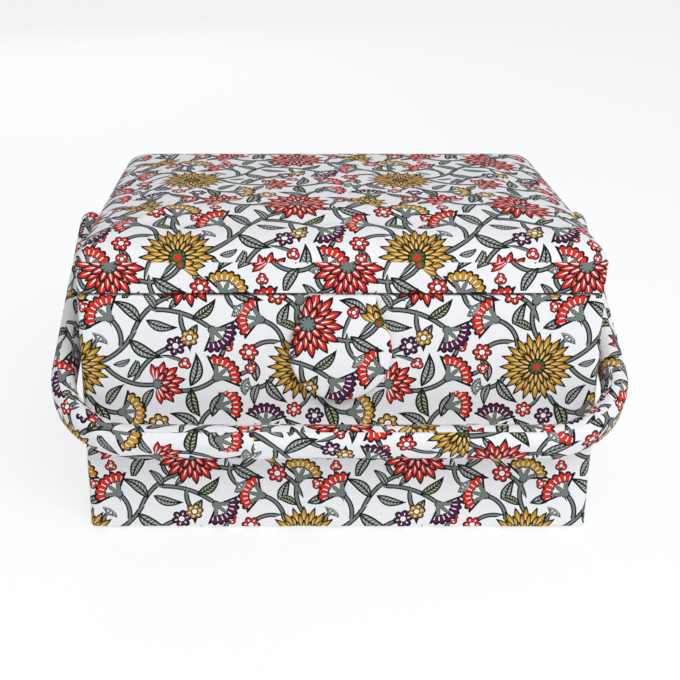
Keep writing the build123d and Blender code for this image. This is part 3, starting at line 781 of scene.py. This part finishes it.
case_profile = rounded_path(
    ((HEM, case_low.z), (0, case_low.z), (0, case_high.z), (RIM_TURN, case_high.z)),
    (FOLD_R, FOLD_R),
    WALL_STEP,
)
case_cover, case_cut = strip_round(
    "case_cover", (WIDTH, DEPTH, CORNER_R), case_profile, WALL_STEP, LAP, LAP_LIFT,
    soften=case_wave, print_at=CASE_PRINT,
)
dress(case_cover, PRINTED, "printed_cotton", "box", "body_cover")
print("the case's strip is", in_mm(*case_cut), "mm")

# %% [markdown]
# ## The lid's band
#
# A second strip goes round the edge of the lid. Its lower edge is turned in under the rim, and its upper
# edge is folded under along the pad's seam, where it stands a little proud.

# %% Band of the lid
band_low, band_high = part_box("lid_band_cover")
BAND_STEP = 4 * MM
BAND_WAVE_L = 35 * MM
SEAM_TURN, SEAM_R = 3 * MM, 0.9 * MM
SEAM_PROUD, SEAM_ZONE = 0.35 * MM, 5 * MM
SEAM_WAVE, SEAM_WAVE_L = 0.15 * MM, 14 * MM
BAND_PRINT = (95 * MM, 66 * MM)


def band_wave(spot, z, inset):
    """The unevenness of the band, with the fold at the pad's seam standing proud."""
    point = (spot.x, spot.y, z)
    if inset >= FOLD_R:
        return 0.0, 0.0
    fold = SEAM_PROUD * ease((z - band_high.z) / SEAM_ZONE + 1)
    out = fold - WALL_WAVE * (0.5 + ripple(point, BAND_WAVE_L))
    return out, SEAM_WAVE * ripple(point, SEAM_WAVE_L)


band_profile = rounded_path(
    ((RIM_TURN, band_low.z), (0, band_low.z), (0, band_high.z), (SEAM_TURN, band_high.z)),
    (FOLD_R, SEAM_R),
    BAND_STEP,
)
lid_band, band_cut = strip_round(
    "lid_band", (WIDTH, DEPTH, CORNER_R), band_profile, BAND_STEP, LAP, LAP_LIFT,
    soften=band_wave, print_at=BAND_PRINT,
)
dress(lid_band, PRINTED, "printed_cotton", "lid", "lid_band_cover")
print("the band's strip is", in_mm(*band_cut), "mm")

# %% [markdown]
# ## The lid's pad
#
# A layer of foam under the cloth makes the top soft. The cloth is cut larger than the lid, rolled over
# the foam's edge and caught under the band's fold. The grid is rolled over first. Then a short cloth
# simulation with a little pressure and the edge pinned lets it swell and settle, as on a real pad.

# %% Roll the cloth over the foam
pad_low, pad_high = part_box("lid_pad_cover")
PAD_STEP = 3.0 * MM
PAD_SHOULDER = 28 * MM
PAD_CORNER = 8 * MM
PAD_START_DROP = 0.7 * MM
PAD_EDGE_IN = 0.3 * MM
PAD_PRINT = (260 * MM, 262 * MM)
PAD_RISE = pad_high.z - PAD_START_DROP - pad_low.z
ROLL_TURNS = np.linspace(0, pi / 2, 61)
ROLL_STEPS = np.hypot(PAD_SHOULDER * np.diff(np.sin(ROLL_TURNS)), PAD_RISE * np.diff(np.cos(ROLL_TURNS)))
ROLL_LENGTHS = np.concatenate(([0.0], np.cumsum(ROLL_STEPS)))


def rolled(spot, half):
    """Distance from the middle and drop, for a spot on the flat cloth along one side."""
    level = half - PAD_SHOULDER
    over = abs(spot) - level
    if over <= 0:
        return spot, 0.0
    turn = float(np.interp(over, ROLL_LENGTHS, ROLL_TURNS))
    return (level + PAD_SHOULDER * sin(turn)) * (1 if spot > 0 else -1), PAD_RISE * (1 - cos(turn))


def pad_measures(side):
    """Half the pad's side, half the flat cloth and the number of cells."""
    half = side / 2 - PAD_EDGE_IN
    flat_half = half - PAD_SHOULDER + float(ROLL_LENGTHS[-1])
    return half, flat_half, round(2 * flat_half / PAD_STEP)


pad_half_w, cloth_half_w, pad_across = pad_measures(WIDTH)
pad_half_d, cloth_half_d, pad_along = pad_measures(DEPTH)


def pad_place(i, j):
    """A corner of the pad's grid, with the plan's corners rounded."""
    u = (2 * i / pad_across - 1) * cloth_half_w
    v = (2 * j / pad_along - 1) * cloth_half_d
    x, drop_x = rolled(u, pad_half_w)
    y, drop_y = rolled(v, pad_half_d)
    beyond_x = max(0.0, abs(x) - pad_half_w + PAD_CORNER) / PAD_CORNER
    beyond_y = max(0.0, abs(y) - pad_half_d + PAD_CORNER) / PAD_CORNER
    pull_x = PAD_CORNER * beyond_x * (1 - sqrt(1 - beyond_y**2 / 2))
    pull_y = PAD_CORNER * beyond_y * (1 - sqrt(1 - beyond_x**2 / 2))
    x -= pull_x if x > 0 else -pull_x
    y -= pull_y if y > 0 else -pull_y
    drop = min((drop_x**4 + drop_y**4) ** 0.25, PAD_RISE)
    return (x, y, pad_high.z - PAD_START_DROP - drop), (u + PAD_PRINT[0], v + PAD_PRINT[1])


lid_pad = cloth_grid("lid_pad", pad_across, pad_along, pad_place)
print("the pad's cloth is", in_mm(2 * cloth_half_w, 2 * cloth_half_d), "mm")

# %% Let the pad swell
PRESSURE = 4.0
SIM_FRAMES = 20
MOST_SWELL = 5.0 * MM
HELD_UP_TO = 5 * MM


def points_of(piece):
    """The piece's corners as rows of numbers."""
    flat = np.empty(len(piece.data.vertices) * 3)
    piece.data.vertices.foreach_get("co", flat)
    return flat.reshape(-1, 3)


def swell(piece, pinned, pressure, most):
    """Runs the cloth under pressure with some corners pinned, and keeps its moves outwards up to most."""
    start = points_of(piece)
    normals = np.empty(start.size)
    piece.data.vertex_normals.foreach_get("vector", normals)
    normals = normals.reshape(-1, 3)
    pins = piece.vertex_groups.new(name="pins")
    pins.add(np.flatnonzero(pinned).tolist(), 1.0, "REPLACE")
    cloth = piece.modifiers.new("cloth", "CLOTH")
    cloth.settings.vertex_group_mass = pins.name
    cloth.settings.use_pressure = True
    cloth.settings.uniform_pressure_force = pressure
    cloth.settings.effector_weights.gravity = 0.0
    cloth.point_cache.frame_start = 1
    cloth.point_cache.frame_end = SIM_FRAMES
    for step in range(1, SIM_FRAMES + 1):
        bpy.context.scene.frame_set(step)
    bpy.ops.object.modifier_apply(modifier=cloth.name)
    bpy.context.scene.frame_set(1)
    out = np.sum((points_of(piece) - start) * normals, axis=1)
    out = np.clip(out, 0.0, most)
    piece.data.vertices.foreach_set("co", (start + normals * out[:, None]).ravel())
    piece.vertex_groups.clear()
    piece.data.update()
    print(piece.name, "swells by up to", in_mm(float(out.max())), "mm")


def subdivide(piece):
    """One applied level of Subdivision Surface."""
    smooth = piece.modifiers.new("subdivision", "SUBSURF")
    smooth.levels = smooth.render_levels = 1
    bpy.ops.object.modifier_apply(modifier=smooth.name)


def close_bottom(piece):
    """Closes the open edge underneath with one face."""
    bpy.ops.object.mode_set(mode="EDIT")
    bpy.ops.mesh.select_mode(type="EDGE")
    bpy.ops.mesh.select_all(action="DESELECT")
    bpy.ops.mesh.select_non_manifold()
    bpy.ops.mesh.edge_face_add()
    bpy.ops.object.mode_set(mode="OBJECT")


held = points_of(lid_pad)[:, 2] < pad_low.z + HELD_UP_TO
swell(lid_pad, held, PRESSURE, MOST_SWELL)
subdivide(lid_pad)
close_bottom(lid_pad)
dress(lid_pad, PRINTED, "printed_cotton", "lid", "lid_pad_cover", "lid_foam")
print("the pad's top is at", in_mm(float(points_of(lid_pad)[:, 2].max())), "mm")

# %% [markdown]
# ## The tab
#
# A round tab of board in a thin padding hangs over the front and holds the lid shut with a magnet. It is
# built as rings: from the middle of its face out to the edge, round the edge and in again at the back.
# The face is a little crowned, the edge is rolled, and the lower end is thicker, so the face stands off
# the front there. The back hardly moves, because it has to hide the board and the magnet.

# %% Tab
tab_low, tab_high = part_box("tab_cover")
TAB_AXIS = Vector(JOINTS["tab_hinge"]["pos_m"])
TAB_R = (tab_high.x - tab_low.x) / 2
TAB_MIDDLE_Z = tab_low.z + TAB_R
tongue_low, tongue_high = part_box("tab_tongue")
NECK_HALF = (tongue_high.x - tongue_low.x) / 2
NECK_CELLS = 10
TAB_CROWN = 0.9 * MM
TAB_LEAN = 2.6 * MM
TAB_BACK_STAYS = 0.85
TAB_FACE_RINGS = 14
TAB_ROLL_STEPS = 8
TAB_BACK_SHARES = (0.02, 0.25, 0.5, 0.75, 1.0)
TAB_STEP = 1.6 * MM
TAB_ROLL_CLOTH = 1.3
TAB_BACK_PRINT = 4 * TAB_R
TAB_PRINT = (120 * MM, 70 * MM)


def tab_outline():
    """The tab's edge from the middle of its neck, anticlockwise from the front: straight, then round."""
    neck = Vector((NECK_HALF, tab_high.z - TAB_MIDDLE_Z))
    reach = neck.length
    lean = atan2(neck.y, neck.x) - atan2(sqrt(reach**2 - TAB_R**2), TAB_R)
    sweep = pi + 2 * lean
    touch = Vector((TAB_R * cos(lean), TAB_R * sin(lean)))
    half = [Vector((NECK_HALF * k / NECK_CELLS, neck.y)) for k in range(NECK_CELLS)]
    steps = round((touch - neck).length / TAB_STEP)
    half += [neck.lerp(touch, k / steps) for k in range(steps)]
    steps = round(TAB_R * sweep / 2 / TAB_STEP)
    turns = [lean - sweep / 2 * k / steps for k in range(steps)]
    half += [Vector((TAB_R * cos(turn), TAB_R * sin(turn))) for turn in turns]
    half.append(Vector((0, -TAB_R)))
    mirrored = [Vector((-p.x, p.y)) for p in reversed(half[:-1])]
    return half + mirrored


def tab_rings():
    """Each ring's share of the way in from the edge, its way back from the face and its way out."""
    roll = (tab_high.y - tab_low.y) / 2
    rings = [(1 - k / TAB_FACE_RINGS, 0.0, 0.0) for k in range(TAB_FACE_RINGS)]
    turns = [pi * k / TAB_ROLL_STEPS for k in range(TAB_ROLL_STEPS + 1)]
    rings += [(0.0, roll * (1 - cos(turn)), roll * sin(turn)) for turn in turns]
    rings += [(share, 2 * roll, 0.0) for share in TAB_BACK_SHARES]
    return rings, roll


TAB_EDGE = tab_outline()
TAB_RINGS, TAB_ROLL = tab_rings()


def tab_place(i, j):
    """A corner of the tab's grid, as seen from the front."""
    share, back, out = TAB_RINGS[j]
    edge = TAB_EDGE[i]
    inner = edge * (1 - TAB_ROLL / edge.length)
    spot = inner * (1 - share) + edge.normalized() * out
    crown = TAB_CROWN * (1 - (1 - share) ** 4) if j < TAB_FACE_RINGS else 0.0
    lean = TAB_LEAN * (tab_high.z - TAB_MIDDLE_Z - spot.y) / (tab_high.z - tab_low.z)
    lean *= 1 - TAB_BACK_STAYS * back / (2 * TAB_ROLL)
    y = tab_low.y + back - crown - lean
    on_cloth = inner * (1 - share)
    if j > TAB_FACE_RINGS + TAB_ROLL_STEPS:
        on_cloth += Vector((0, TAB_BACK_PRINT))
    else:
        on_cloth += edge.normalized() * back * TAB_ROLL_CLOTH
    return (spot.x, y, TAB_MIDDLE_Z + spot.y), (on_cloth.x + TAB_PRINT[0], on_cloth.y + TAB_PRINT[1])


def merge_doubles(piece):
    """Joins corners that lie on each other and turns all faces outwards."""
    bpy.ops.object.mode_set(mode="EDIT")
    bpy.ops.mesh.select_all(action="SELECT")
    bpy.ops.mesh.remove_doubles(threshold=0.01 * MM)
    bpy.ops.mesh.normals_make_consistent(inside=False)
    bpy.ops.object.mode_set(mode="OBJECT")


tab = cloth_grid("tab", len(TAB_EDGE) - 1, len(TAB_RINGS) - 1, tab_place)
merge_doubles(tab)
subdivide(tab)
dress(tab, PRINTED, "printed_cotton", "tab", "tab_cover")
print("the tab is", in_mm(2 * TAB_R), "mm wide")

# %% [markdown]
# ## The strip that holds the tab
#
# The tab's cloth runs on under the lid's rim, where it is glued. At the fold it has to turn with the tab and stay
# on the lid; here it rides on neither body and keeps its place.

# %% Strip of the tab
STRIP_STEP = 1.0 * MM
STRIP_IN = 0.4 * MM
STRIP_END = 4 * MM
STRIP_R = 1.2 * MM
strip_path, strip_lengths = rounded_path(
    (
        (tongue_high.y, tongue_high.z - STRIP_IN),
        (TAB_AXIS.y, tongue_high.z - STRIP_IN),
        (TAB_AXIS.y, TAB_AXIS.z - STRIP_END),
    ),
    (STRIP_R,),
    STRIP_STEP,
)
STRIP_CELLS = 16
STRIP_HALF = NECK_HALF - STRIP_IN


def strip_place(i, j):
    """A corner of the strip, from under the rim down into the tab."""
    x = (1 - 2 * i / STRIP_CELLS) * STRIP_HALF
    y, z = strip_path[j]
    return (x, y, z), (x, strip_lengths[j])


tab_strip = cloth_grid("tab_strip", STRIP_CELLS, len(strip_path) - 1, strip_place)
thicken(tab_strip)
dress(tab_strip, PRINTED, "printed_cotton", None, "tab_tongue")
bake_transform(tab_strip)

# %% [markdown]
# ## The handle's sleeve
#
# The handle is a steel strip in padding. Lengths of cloth are wrapped round it: their long edges lap
# along the top, each length laps over the one before, and the ends are drawn together. The sleeve is a
# flat rounded section carried along the handle's route, whose sizes are those of the CAD handle. In the
# tight bends the cloth crinkles inside.

# %% Route and section of the handle
PIVOT = Vector(JOINTS["handle_swing"]["pos_m"])
HANDLE_DROP = radians(25.5)
ARM_WAY = Vector((0, -cos(HANDLE_DROP), -sin(HANDLE_DROP)))
FACE_WAY = Vector((0, -sin(HANDLE_DROP), cos(HANDLE_DROP)))
ARM_X = 163 * MM
TAIL, REACH = 22 * MM, 157 * MM
BEND_R = 49 * MM
SLEEVE_HALF_W, SLEEVE_HALF_T = 11 * MM, 7 * MM
ROUTE_STEP = 2.0 * MM
SECTION_STEP = 1.6 * MM
SLEEVE_LAP = 7 * MM
CAP_STEPS = 8
route, route_lengths = rounded_path(
    ((-ARM_X, -TAIL), (-ARM_X, REACH), (ARM_X, REACH), (ARM_X, -TAIL)),
    (BEND_R, BEND_R),
    ROUTE_STEP,
)
ROUTE_L = route_lengths[-1]
section_round = 2 * pi * SLEEVE_HALF_T + 4 * (SLEEVE_HALF_W - SLEEVE_HALF_T)


def section_spot(length):
    """Across and up on the flat rounded section, from its top and then outwards from the box."""
    flat = 2 * (SLEEVE_HALF_W - SLEEVE_HALF_T)
    quarter = SLEEVE_HALF_T * pi / 2
    length %= section_round
    if length <= quarter:
        turn = length / SLEEVE_HALF_T
        return SLEEVE_HALF_T * sin(turn), flat / 2 + SLEEVE_HALF_T * cos(turn)
    if length <= quarter + flat:
        return SLEEVE_HALF_T, flat / 2 - (length - quarter)
    if length <= 3 * quarter + flat:
        turn = (length - quarter - flat) / SLEEVE_HALF_T
        return SLEEVE_HALF_T * cos(turn), -flat / 2 - SLEEVE_HALF_T * sin(turn)
    if length <= 3 * quarter + 2 * flat:
        return -SLEEVE_HALF_T, -flat / 2 + (length - 3 * quarter - flat)
    turn = (length - 3 * quarter - 2 * flat) / SLEEVE_HALF_T
    return -SLEEVE_HALF_T * cos(turn), flat / 2 + SLEEVE_HALF_T * sin(turn)


print("the sleeve's length and girth are", in_mm(ROUTE_L, section_round), "mm")

# %% Sleeve
SEAM_START = -5 * MM
SLEEVE_LIFT, LAP_EDGE, LAP_START = 0.55 * MM, 3 * MM, 1.2
JOIN_XS = (-49 * MM, 71 * MM)
JOIN_LIFT = 0.7 * MM
JOIN_FADE = 22 * MM
JOIN_SHIFT = (47 * MM, 31 * MM)
HAIR = 0.02 * MM
CLOSE = 0.1 * MM
CAP_FADE = 1.3
CRINKLE, CRINKLE_L = 0.75 * MM, 6.5 * MM
CRINKLE_WANDER, CRINKLE_WANDER_L = 2.5, 18 * MM
CRINKLE_CREST = 0.25
FULLNESS, FULLNESS_L = 0.25 * MM, 30 * MM
BEND_ZONE = 45 * MM
HALF_BEND = 0.75

section_cells = round((section_round + SLEEVE_LAP) / SECTION_STEP)
section_lengths = [
    SEAM_START + (section_round + SLEEVE_LAP) * k / section_cells for k in range(section_cells + 1)
]
bar_lengths = [length for spot, length in zip(route, route_lengths) if spot.y > REACH - CLOSE]
BEND_MIDDLES = (bar_lengths[0] - BEND_R * HALF_BEND, bar_lengths[-1] + BEND_R * HALF_BEND)
JOINS = [ROUTE_L / 2 + x for x in JOIN_XS]


def sleeve_rows():
    """Rows along the handle: length, place, way along, how far past the end, and joins passed."""
    caps = [SLEEVE_HALF_W * sin(pi / 2 * k / CAP_STEPS) for k in range(1, CAP_STEPS + 1)]
    rows = [(-past, route[0] - Vector((0, past)), Vector((0, 1)), past, 0) for past in reversed(caps)]
    for k, (spot, length) in enumerate(zip(route, route_lengths)):
        before, after = route[max(k - 1, 0)], route[min(k + 1, len(route) - 1)]
        along = (after - before).normalized()
        passed = sum(length > join for join in JOINS)
        if passed > rows[-1][4]:
            join = JOINS[passed - 1]
            edge = spot - along * (length - join)
            for hairs, count in enumerate((passed - 1, passed - 0.5, passed)):
                rows.append((join, edge + along * HAIR * hairs, along, 0.0, count))
        rows.append((length, spot, along, 0.0, passed))
    for past in caps:
        rows.append((ROUTE_L + past, route[-1] - Vector((0, past)), Vector((0, -1)), past, len(JOINS)))
    return rows


SLEEVE_ROWS = sleeve_rows()


def cap_half(distance):
    """Half the thickness of the round end at a distance from its middle."""
    over = max(0.0, distance - (SLEEVE_HALF_W - SLEEVE_HALF_T))
    return sqrt(max(0.0, SLEEVE_HALF_T**2 - over**2))


def sleeve_out(length, around, across, joins):
    """How far the cloth stands off the plain sleeve: laps, joins, crinkles and fullness."""
    out = SLEEVE_LIFT * ease((around - section_round) / LAP_EDGE + LAP_START)
    if joins >= 1:
        last = int(joins)
        out += JOIN_LIFT * exp(-(length - JOINS[last - 1]) / JOIN_FADE) if joins == last else 0.0
    bend = max(ease(1 - abs(length - middle) / BEND_ZONE) for middle in BEND_MIDDLES)
    inner = ease(-across / SLEEVE_HALF_T)
    wander = ripple((length, around, 0.0), CRINKLE_WANDER_L)
    crinkle = sin(2 * pi * length / CRINKLE_L + CRINKLE_WANDER * wander)
    out += CRINKLE * bend * inner * min(crinkle, CRINKLE_CREST)
    return out + FULLNESS * ripple((length, around, SLEEVE_HALF_T), FULLNESS_L)


def sleeve_place(i, j):
    """A corner of the sleeve's grid."""
    around = section_lengths[i]
    length, spot, along, past, joins = SLEEVE_ROWS[j]
    across, up = section_spot(around)
    if past:
        up *= sqrt(max(0.0, 1 - (past / SLEEVE_HALF_W) ** 2))
        thin = cap_half(hypot(past, up))
        across = min(max(across, -thin), thin)
    out = sleeve_out(length, around, across, joins) * ease(CAP_FADE - past / SLEEVE_HALF_W)
    level = max(hypot(across, up), CLOSE)
    across, up = across * (1 + out / level), up * (1 + out / level)
    outward = Vector((-along.y, along.x))
    flat = spot + outward * across
    point = PIVOT + Vector((flat.x, 0, 0)) + ARM_WAY * flat.y + FACE_WAY * up
    cut = ceil(joins)
    return point, (length - JOIN_LIFT * (cut - joins) + cut * JOIN_SHIFT[0], around + cut * JOIN_SHIFT[1])


handle_sleeve = cloth_grid("handle_sleeve", section_cells, len(SLEEVE_ROWS) - 1, sleeve_place)
thicken(handle_sleeve)
dress(handle_sleeve, PRINTED, "printed_cotton", "handle", "handle_cover")

# %% [markdown]
# ## Linings
#
# Cream cotton lines the walls, the floor and the inside of the lid. The wall lining is a strip like the
# outer cover, facing inwards. The floor and the lid's ceiling are cloth over card, so their edges are
# rolled a little and their middle is slightly full.

# %% Wall linings
LINING_CORNER = 1.5 * MM
LINING_LIFT = 0.3 * MM
LINING_STEP = 6 * MM
LINING_WAVE, LINING_WAVE_L = 0.12 * MM, 30 * MM
LINING_TOP_PLAY = 0.1 * MM
well_low, well_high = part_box("floor_lining")
INSIDE_W = well_high.x - well_low.x
INSIDE_D = well_high.y - well_low.y


def lining_wave(spot, z, inset):
    """Glued lining, a little uneven towards the board."""
    return LINING_WAVE * (1 + ripple((spot.x, spot.y, z), LINING_WAVE_L)), 0.0


for name, node, body, board in (
    ("wall_cloth", "wall_lining", "box", "left_board"),
    ("lid_wall_cloth", "lid_lining", "lid", "lid_left_strip"),
):
    low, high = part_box(node)
    profile = rounded_path(((0, low.z), (0, high.z - LINING_TOP_PLAY)), (), LINING_STEP)
    lining, cut = strip_round(
        name, (INSIDE_W, INSIDE_D, LINING_CORNER), profile, LINING_STEP, LAP, LINING_LIFT,
        inward=True, soften=lining_wave,
    )
    dress(lining, LINING, "lining_cotton", body, node)
    print(name, "is cut to", in_mm(*cut), "mm")

# %% Floor and ceiling linings
PANEL_CELL = 5 * MM
PANEL_EDGE, PANEL_DIP = 5 * MM, 0.35 * MM
PANEL_PLAY = 0.3 * MM
PANEL_T = 0.35 * MM
PANEL_WAVE, PANEL_WAVE_L = 0.08 * MM, 40 * MM
CEILING_DROP = 0.8 * MM


def panel(name, z, up, body, node):
    """Cloth over card across the inside: up is 1 on the floor and -1 on the lid's ceiling."""
    half_w, half_d = INSIDE_W / 2 - PANEL_PLAY, INSIDE_D / 2 - PANEL_PLAY
    across, along = round(2 * half_w / PANEL_CELL), round(2 * half_d / PANEL_CELL)

    def place(i, j):
        x = (2 * i / across - 1) * half_w * up
        y = (2 * j / along - 1) * half_d
        edge = min(half_w - abs(x), half_d - abs(y))
        dip = PANEL_DIP * (1 - ease(edge / PANEL_EDGE))
        dip += PANEL_WAVE * (1 + ripple((x, y, z), PANEL_WAVE_L))
        return (x, y, z - up * dip), (x, y)

    piece = cloth_grid(name, across, along, place)
    thicken(piece, PANEL_T)
    dress(piece, LINING, "lining_cotton", body, node)
    return piece


panel("floor_cloth", well_high.z, 1, "box", "floor_lining")
panel("ceiling_cloth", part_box("lid_lining")[1].z - CEILING_DROP, -1, "lid", "lid_lining")
print("the inside is", in_mm(INSIDE_W, INSIDE_D), "mm")

# %% [markdown]
# ## Finishes of the CAD pieces
#
# Boards, card, wood, plastic and metal keep their CAD shape and get a finish of their own. Each finish
# has a pattern at the real scale: fibres in the board, grain in the rails, fine brush marks on the
# metal. They read the object's own coordinates, so nothing slides when a piece moves.


# %% Board, card, wood, foam and plastic
def object_point(r):
    """The point on the object in millimetres."""
    spot = r.add("ShaderNodeTexCoord", {}, out="Object")
    return r.vec("MULTIPLY", spot, (1 / MM, 1 / MM, 1 / MM))


def fibre_board(name, light, dark):
    """Pressed fibres: short dark flecks in a mottled ground."""
    r = Recipe(name)
    point = object_point(r)
    mottle = r.cloudy(point, scale=0.06, detail=4.0)
    fleck = r.cloudy(r.vec("MULTIPLY", point, (0.5, 1.6, 1.1)), 1.0, 3.0)
    colour = r.paint(light, dark, r.math("MULTIPLY", mottle, fleck))
    rough = r.between(fleck, 0.72, 0.95)
    return r.finish(colour, rough, fleck, bump_depth=0.15 * MM)


def beech(name):
    """Straight grain along the rail with short rays."""
    r = Recipe(name)
    point = object_point(r)
    grain = r.cloudy(r.vec("MULTIPLY", point, (1.1, 0.03, 1.1)), 1.0, 4.0)
    ray = r.more(r.cloudy(r.vec("MULTIPLY", point, (3.0, 0.35, 3.0)), 1.0), 0.66)
    colour = r.paint((0.56, 0.35, 0.18), (0.36, 0.19, 0.085), grain)
    colour = r.paint(colour, (0.26, 0.13, 0.06), r.math("MULTIPLY", ray, 0.5))
    return r.finish(colour, r.between(grain, 0.42, 0.62), grain, bump_depth=0.08 * MM)


def foam(name):
    """Open cells, with painted shade: darker in the hollow of each cell and lighter on its walls."""
    r = Recipe(name)
    cells = r.add("ShaderNodeTexVoronoi", {"Vector": object_point(r), "Scale": 0.9})
    # Painted shade: the colour is darkest where each cell's relief dips and lightest on the cell walls.
    colour = r.paint((0.55, 0.50, 0.36), (0.80, 0.76, 0.60), cells)
    return r.finish(colour, r.between(cells, 0.85, 0.98), cells, bump_depth=0.5 * MM)


def moulded(name, light, dark, least_rough, most_rough):
    """Moulded plastic: a faint flow mottle and a fine satin grain."""
    r = Recipe(name)
    point = object_point(r)
    flow = r.cloudy(point, scale=0.035, detail=3.0)
    grain = r.cloudy(point, scale=2.4)
    colour = r.paint(light, dark, flow)
    rough = r.between(flow, least_rough, most_rough)
    return r.finish(colour, rough, grain, bump_depth=0.03 * MM)


# %% Metals
def brushed(name, bright, dull, fineness, least_rough, most_rough):
    """Plated or polished metal with fine brush marks and duller patches."""
    r = Recipe(name)
    point = object_point(r)
    marks = r.cloudy(r.vec("MULTIPLY", point, fineness), 1.0, 3.0)
    patches = r.cloudy(point, scale=0.22, detail=3.0)
    colour = r.paint(bright, dull, patches)
    rough = r.math("ADD", r.between(patches, least_rough, most_rough), r.math("MULTIPLY", marks, 0.10))
    return r.finish(colour, rough, marks, bump_depth=0.02 * MM, fixed={"Metallic": 1.0})


# Each finish: its two colours, how fine brush marks are along x, y and z, least and most roughness
FINISHES = {
    "printed_cotton": PRINTED,
    "lining_cotton": LINING,
    "board": fibre_board("pressed_board", (0.40, 0.27, 0.16), (0.20, 0.12, 0.065)),
    "base_card": fibre_board("grey_card", (0.30, 0.29, 0.27), (0.17, 0.165, 0.155)),
    "rail_wood": beech("beech"),
    "foam": foam("open_foam"),
    "tray_plastic": moulded("satin_plastic", (0.80, 0.77, 0.70), (0.72, 0.69, 0.61), 0.34, 0.46),
    "hinge_brass": brushed("brass", (0.80, 0.57, 0.24), (0.58, 0.38, 0.14), (0.3, 4.0, 4.0), 0.20, 0.38),
    "plated_steel": brushed("nickel", (0.72, 0.71, 0.69), (0.55, 0.54, 0.52), (4.0, 0.4, 4.0), 0.16, 0.32),
    "black_nylon": moulded("dark_nylon", (0.022, 0.022, 0.024), (0.012, 0.012, 0.013), 0.38, 0.55),
    "magnet": brushed("ferrite", (0.42, 0.42, 0.43), (0.26, 0.26, 0.27), (0.5, 0.5, 3.0), 0.30, 0.50),
}

for part in frame["record"]["subparts"]:
    materials = frame["nodes"][part["node"]].data.materials
    materials.clear()
    materials.append(FINISHES[part["material_slot"]])
print(len(frame["nodes"]), "CAD nodes have a finish")
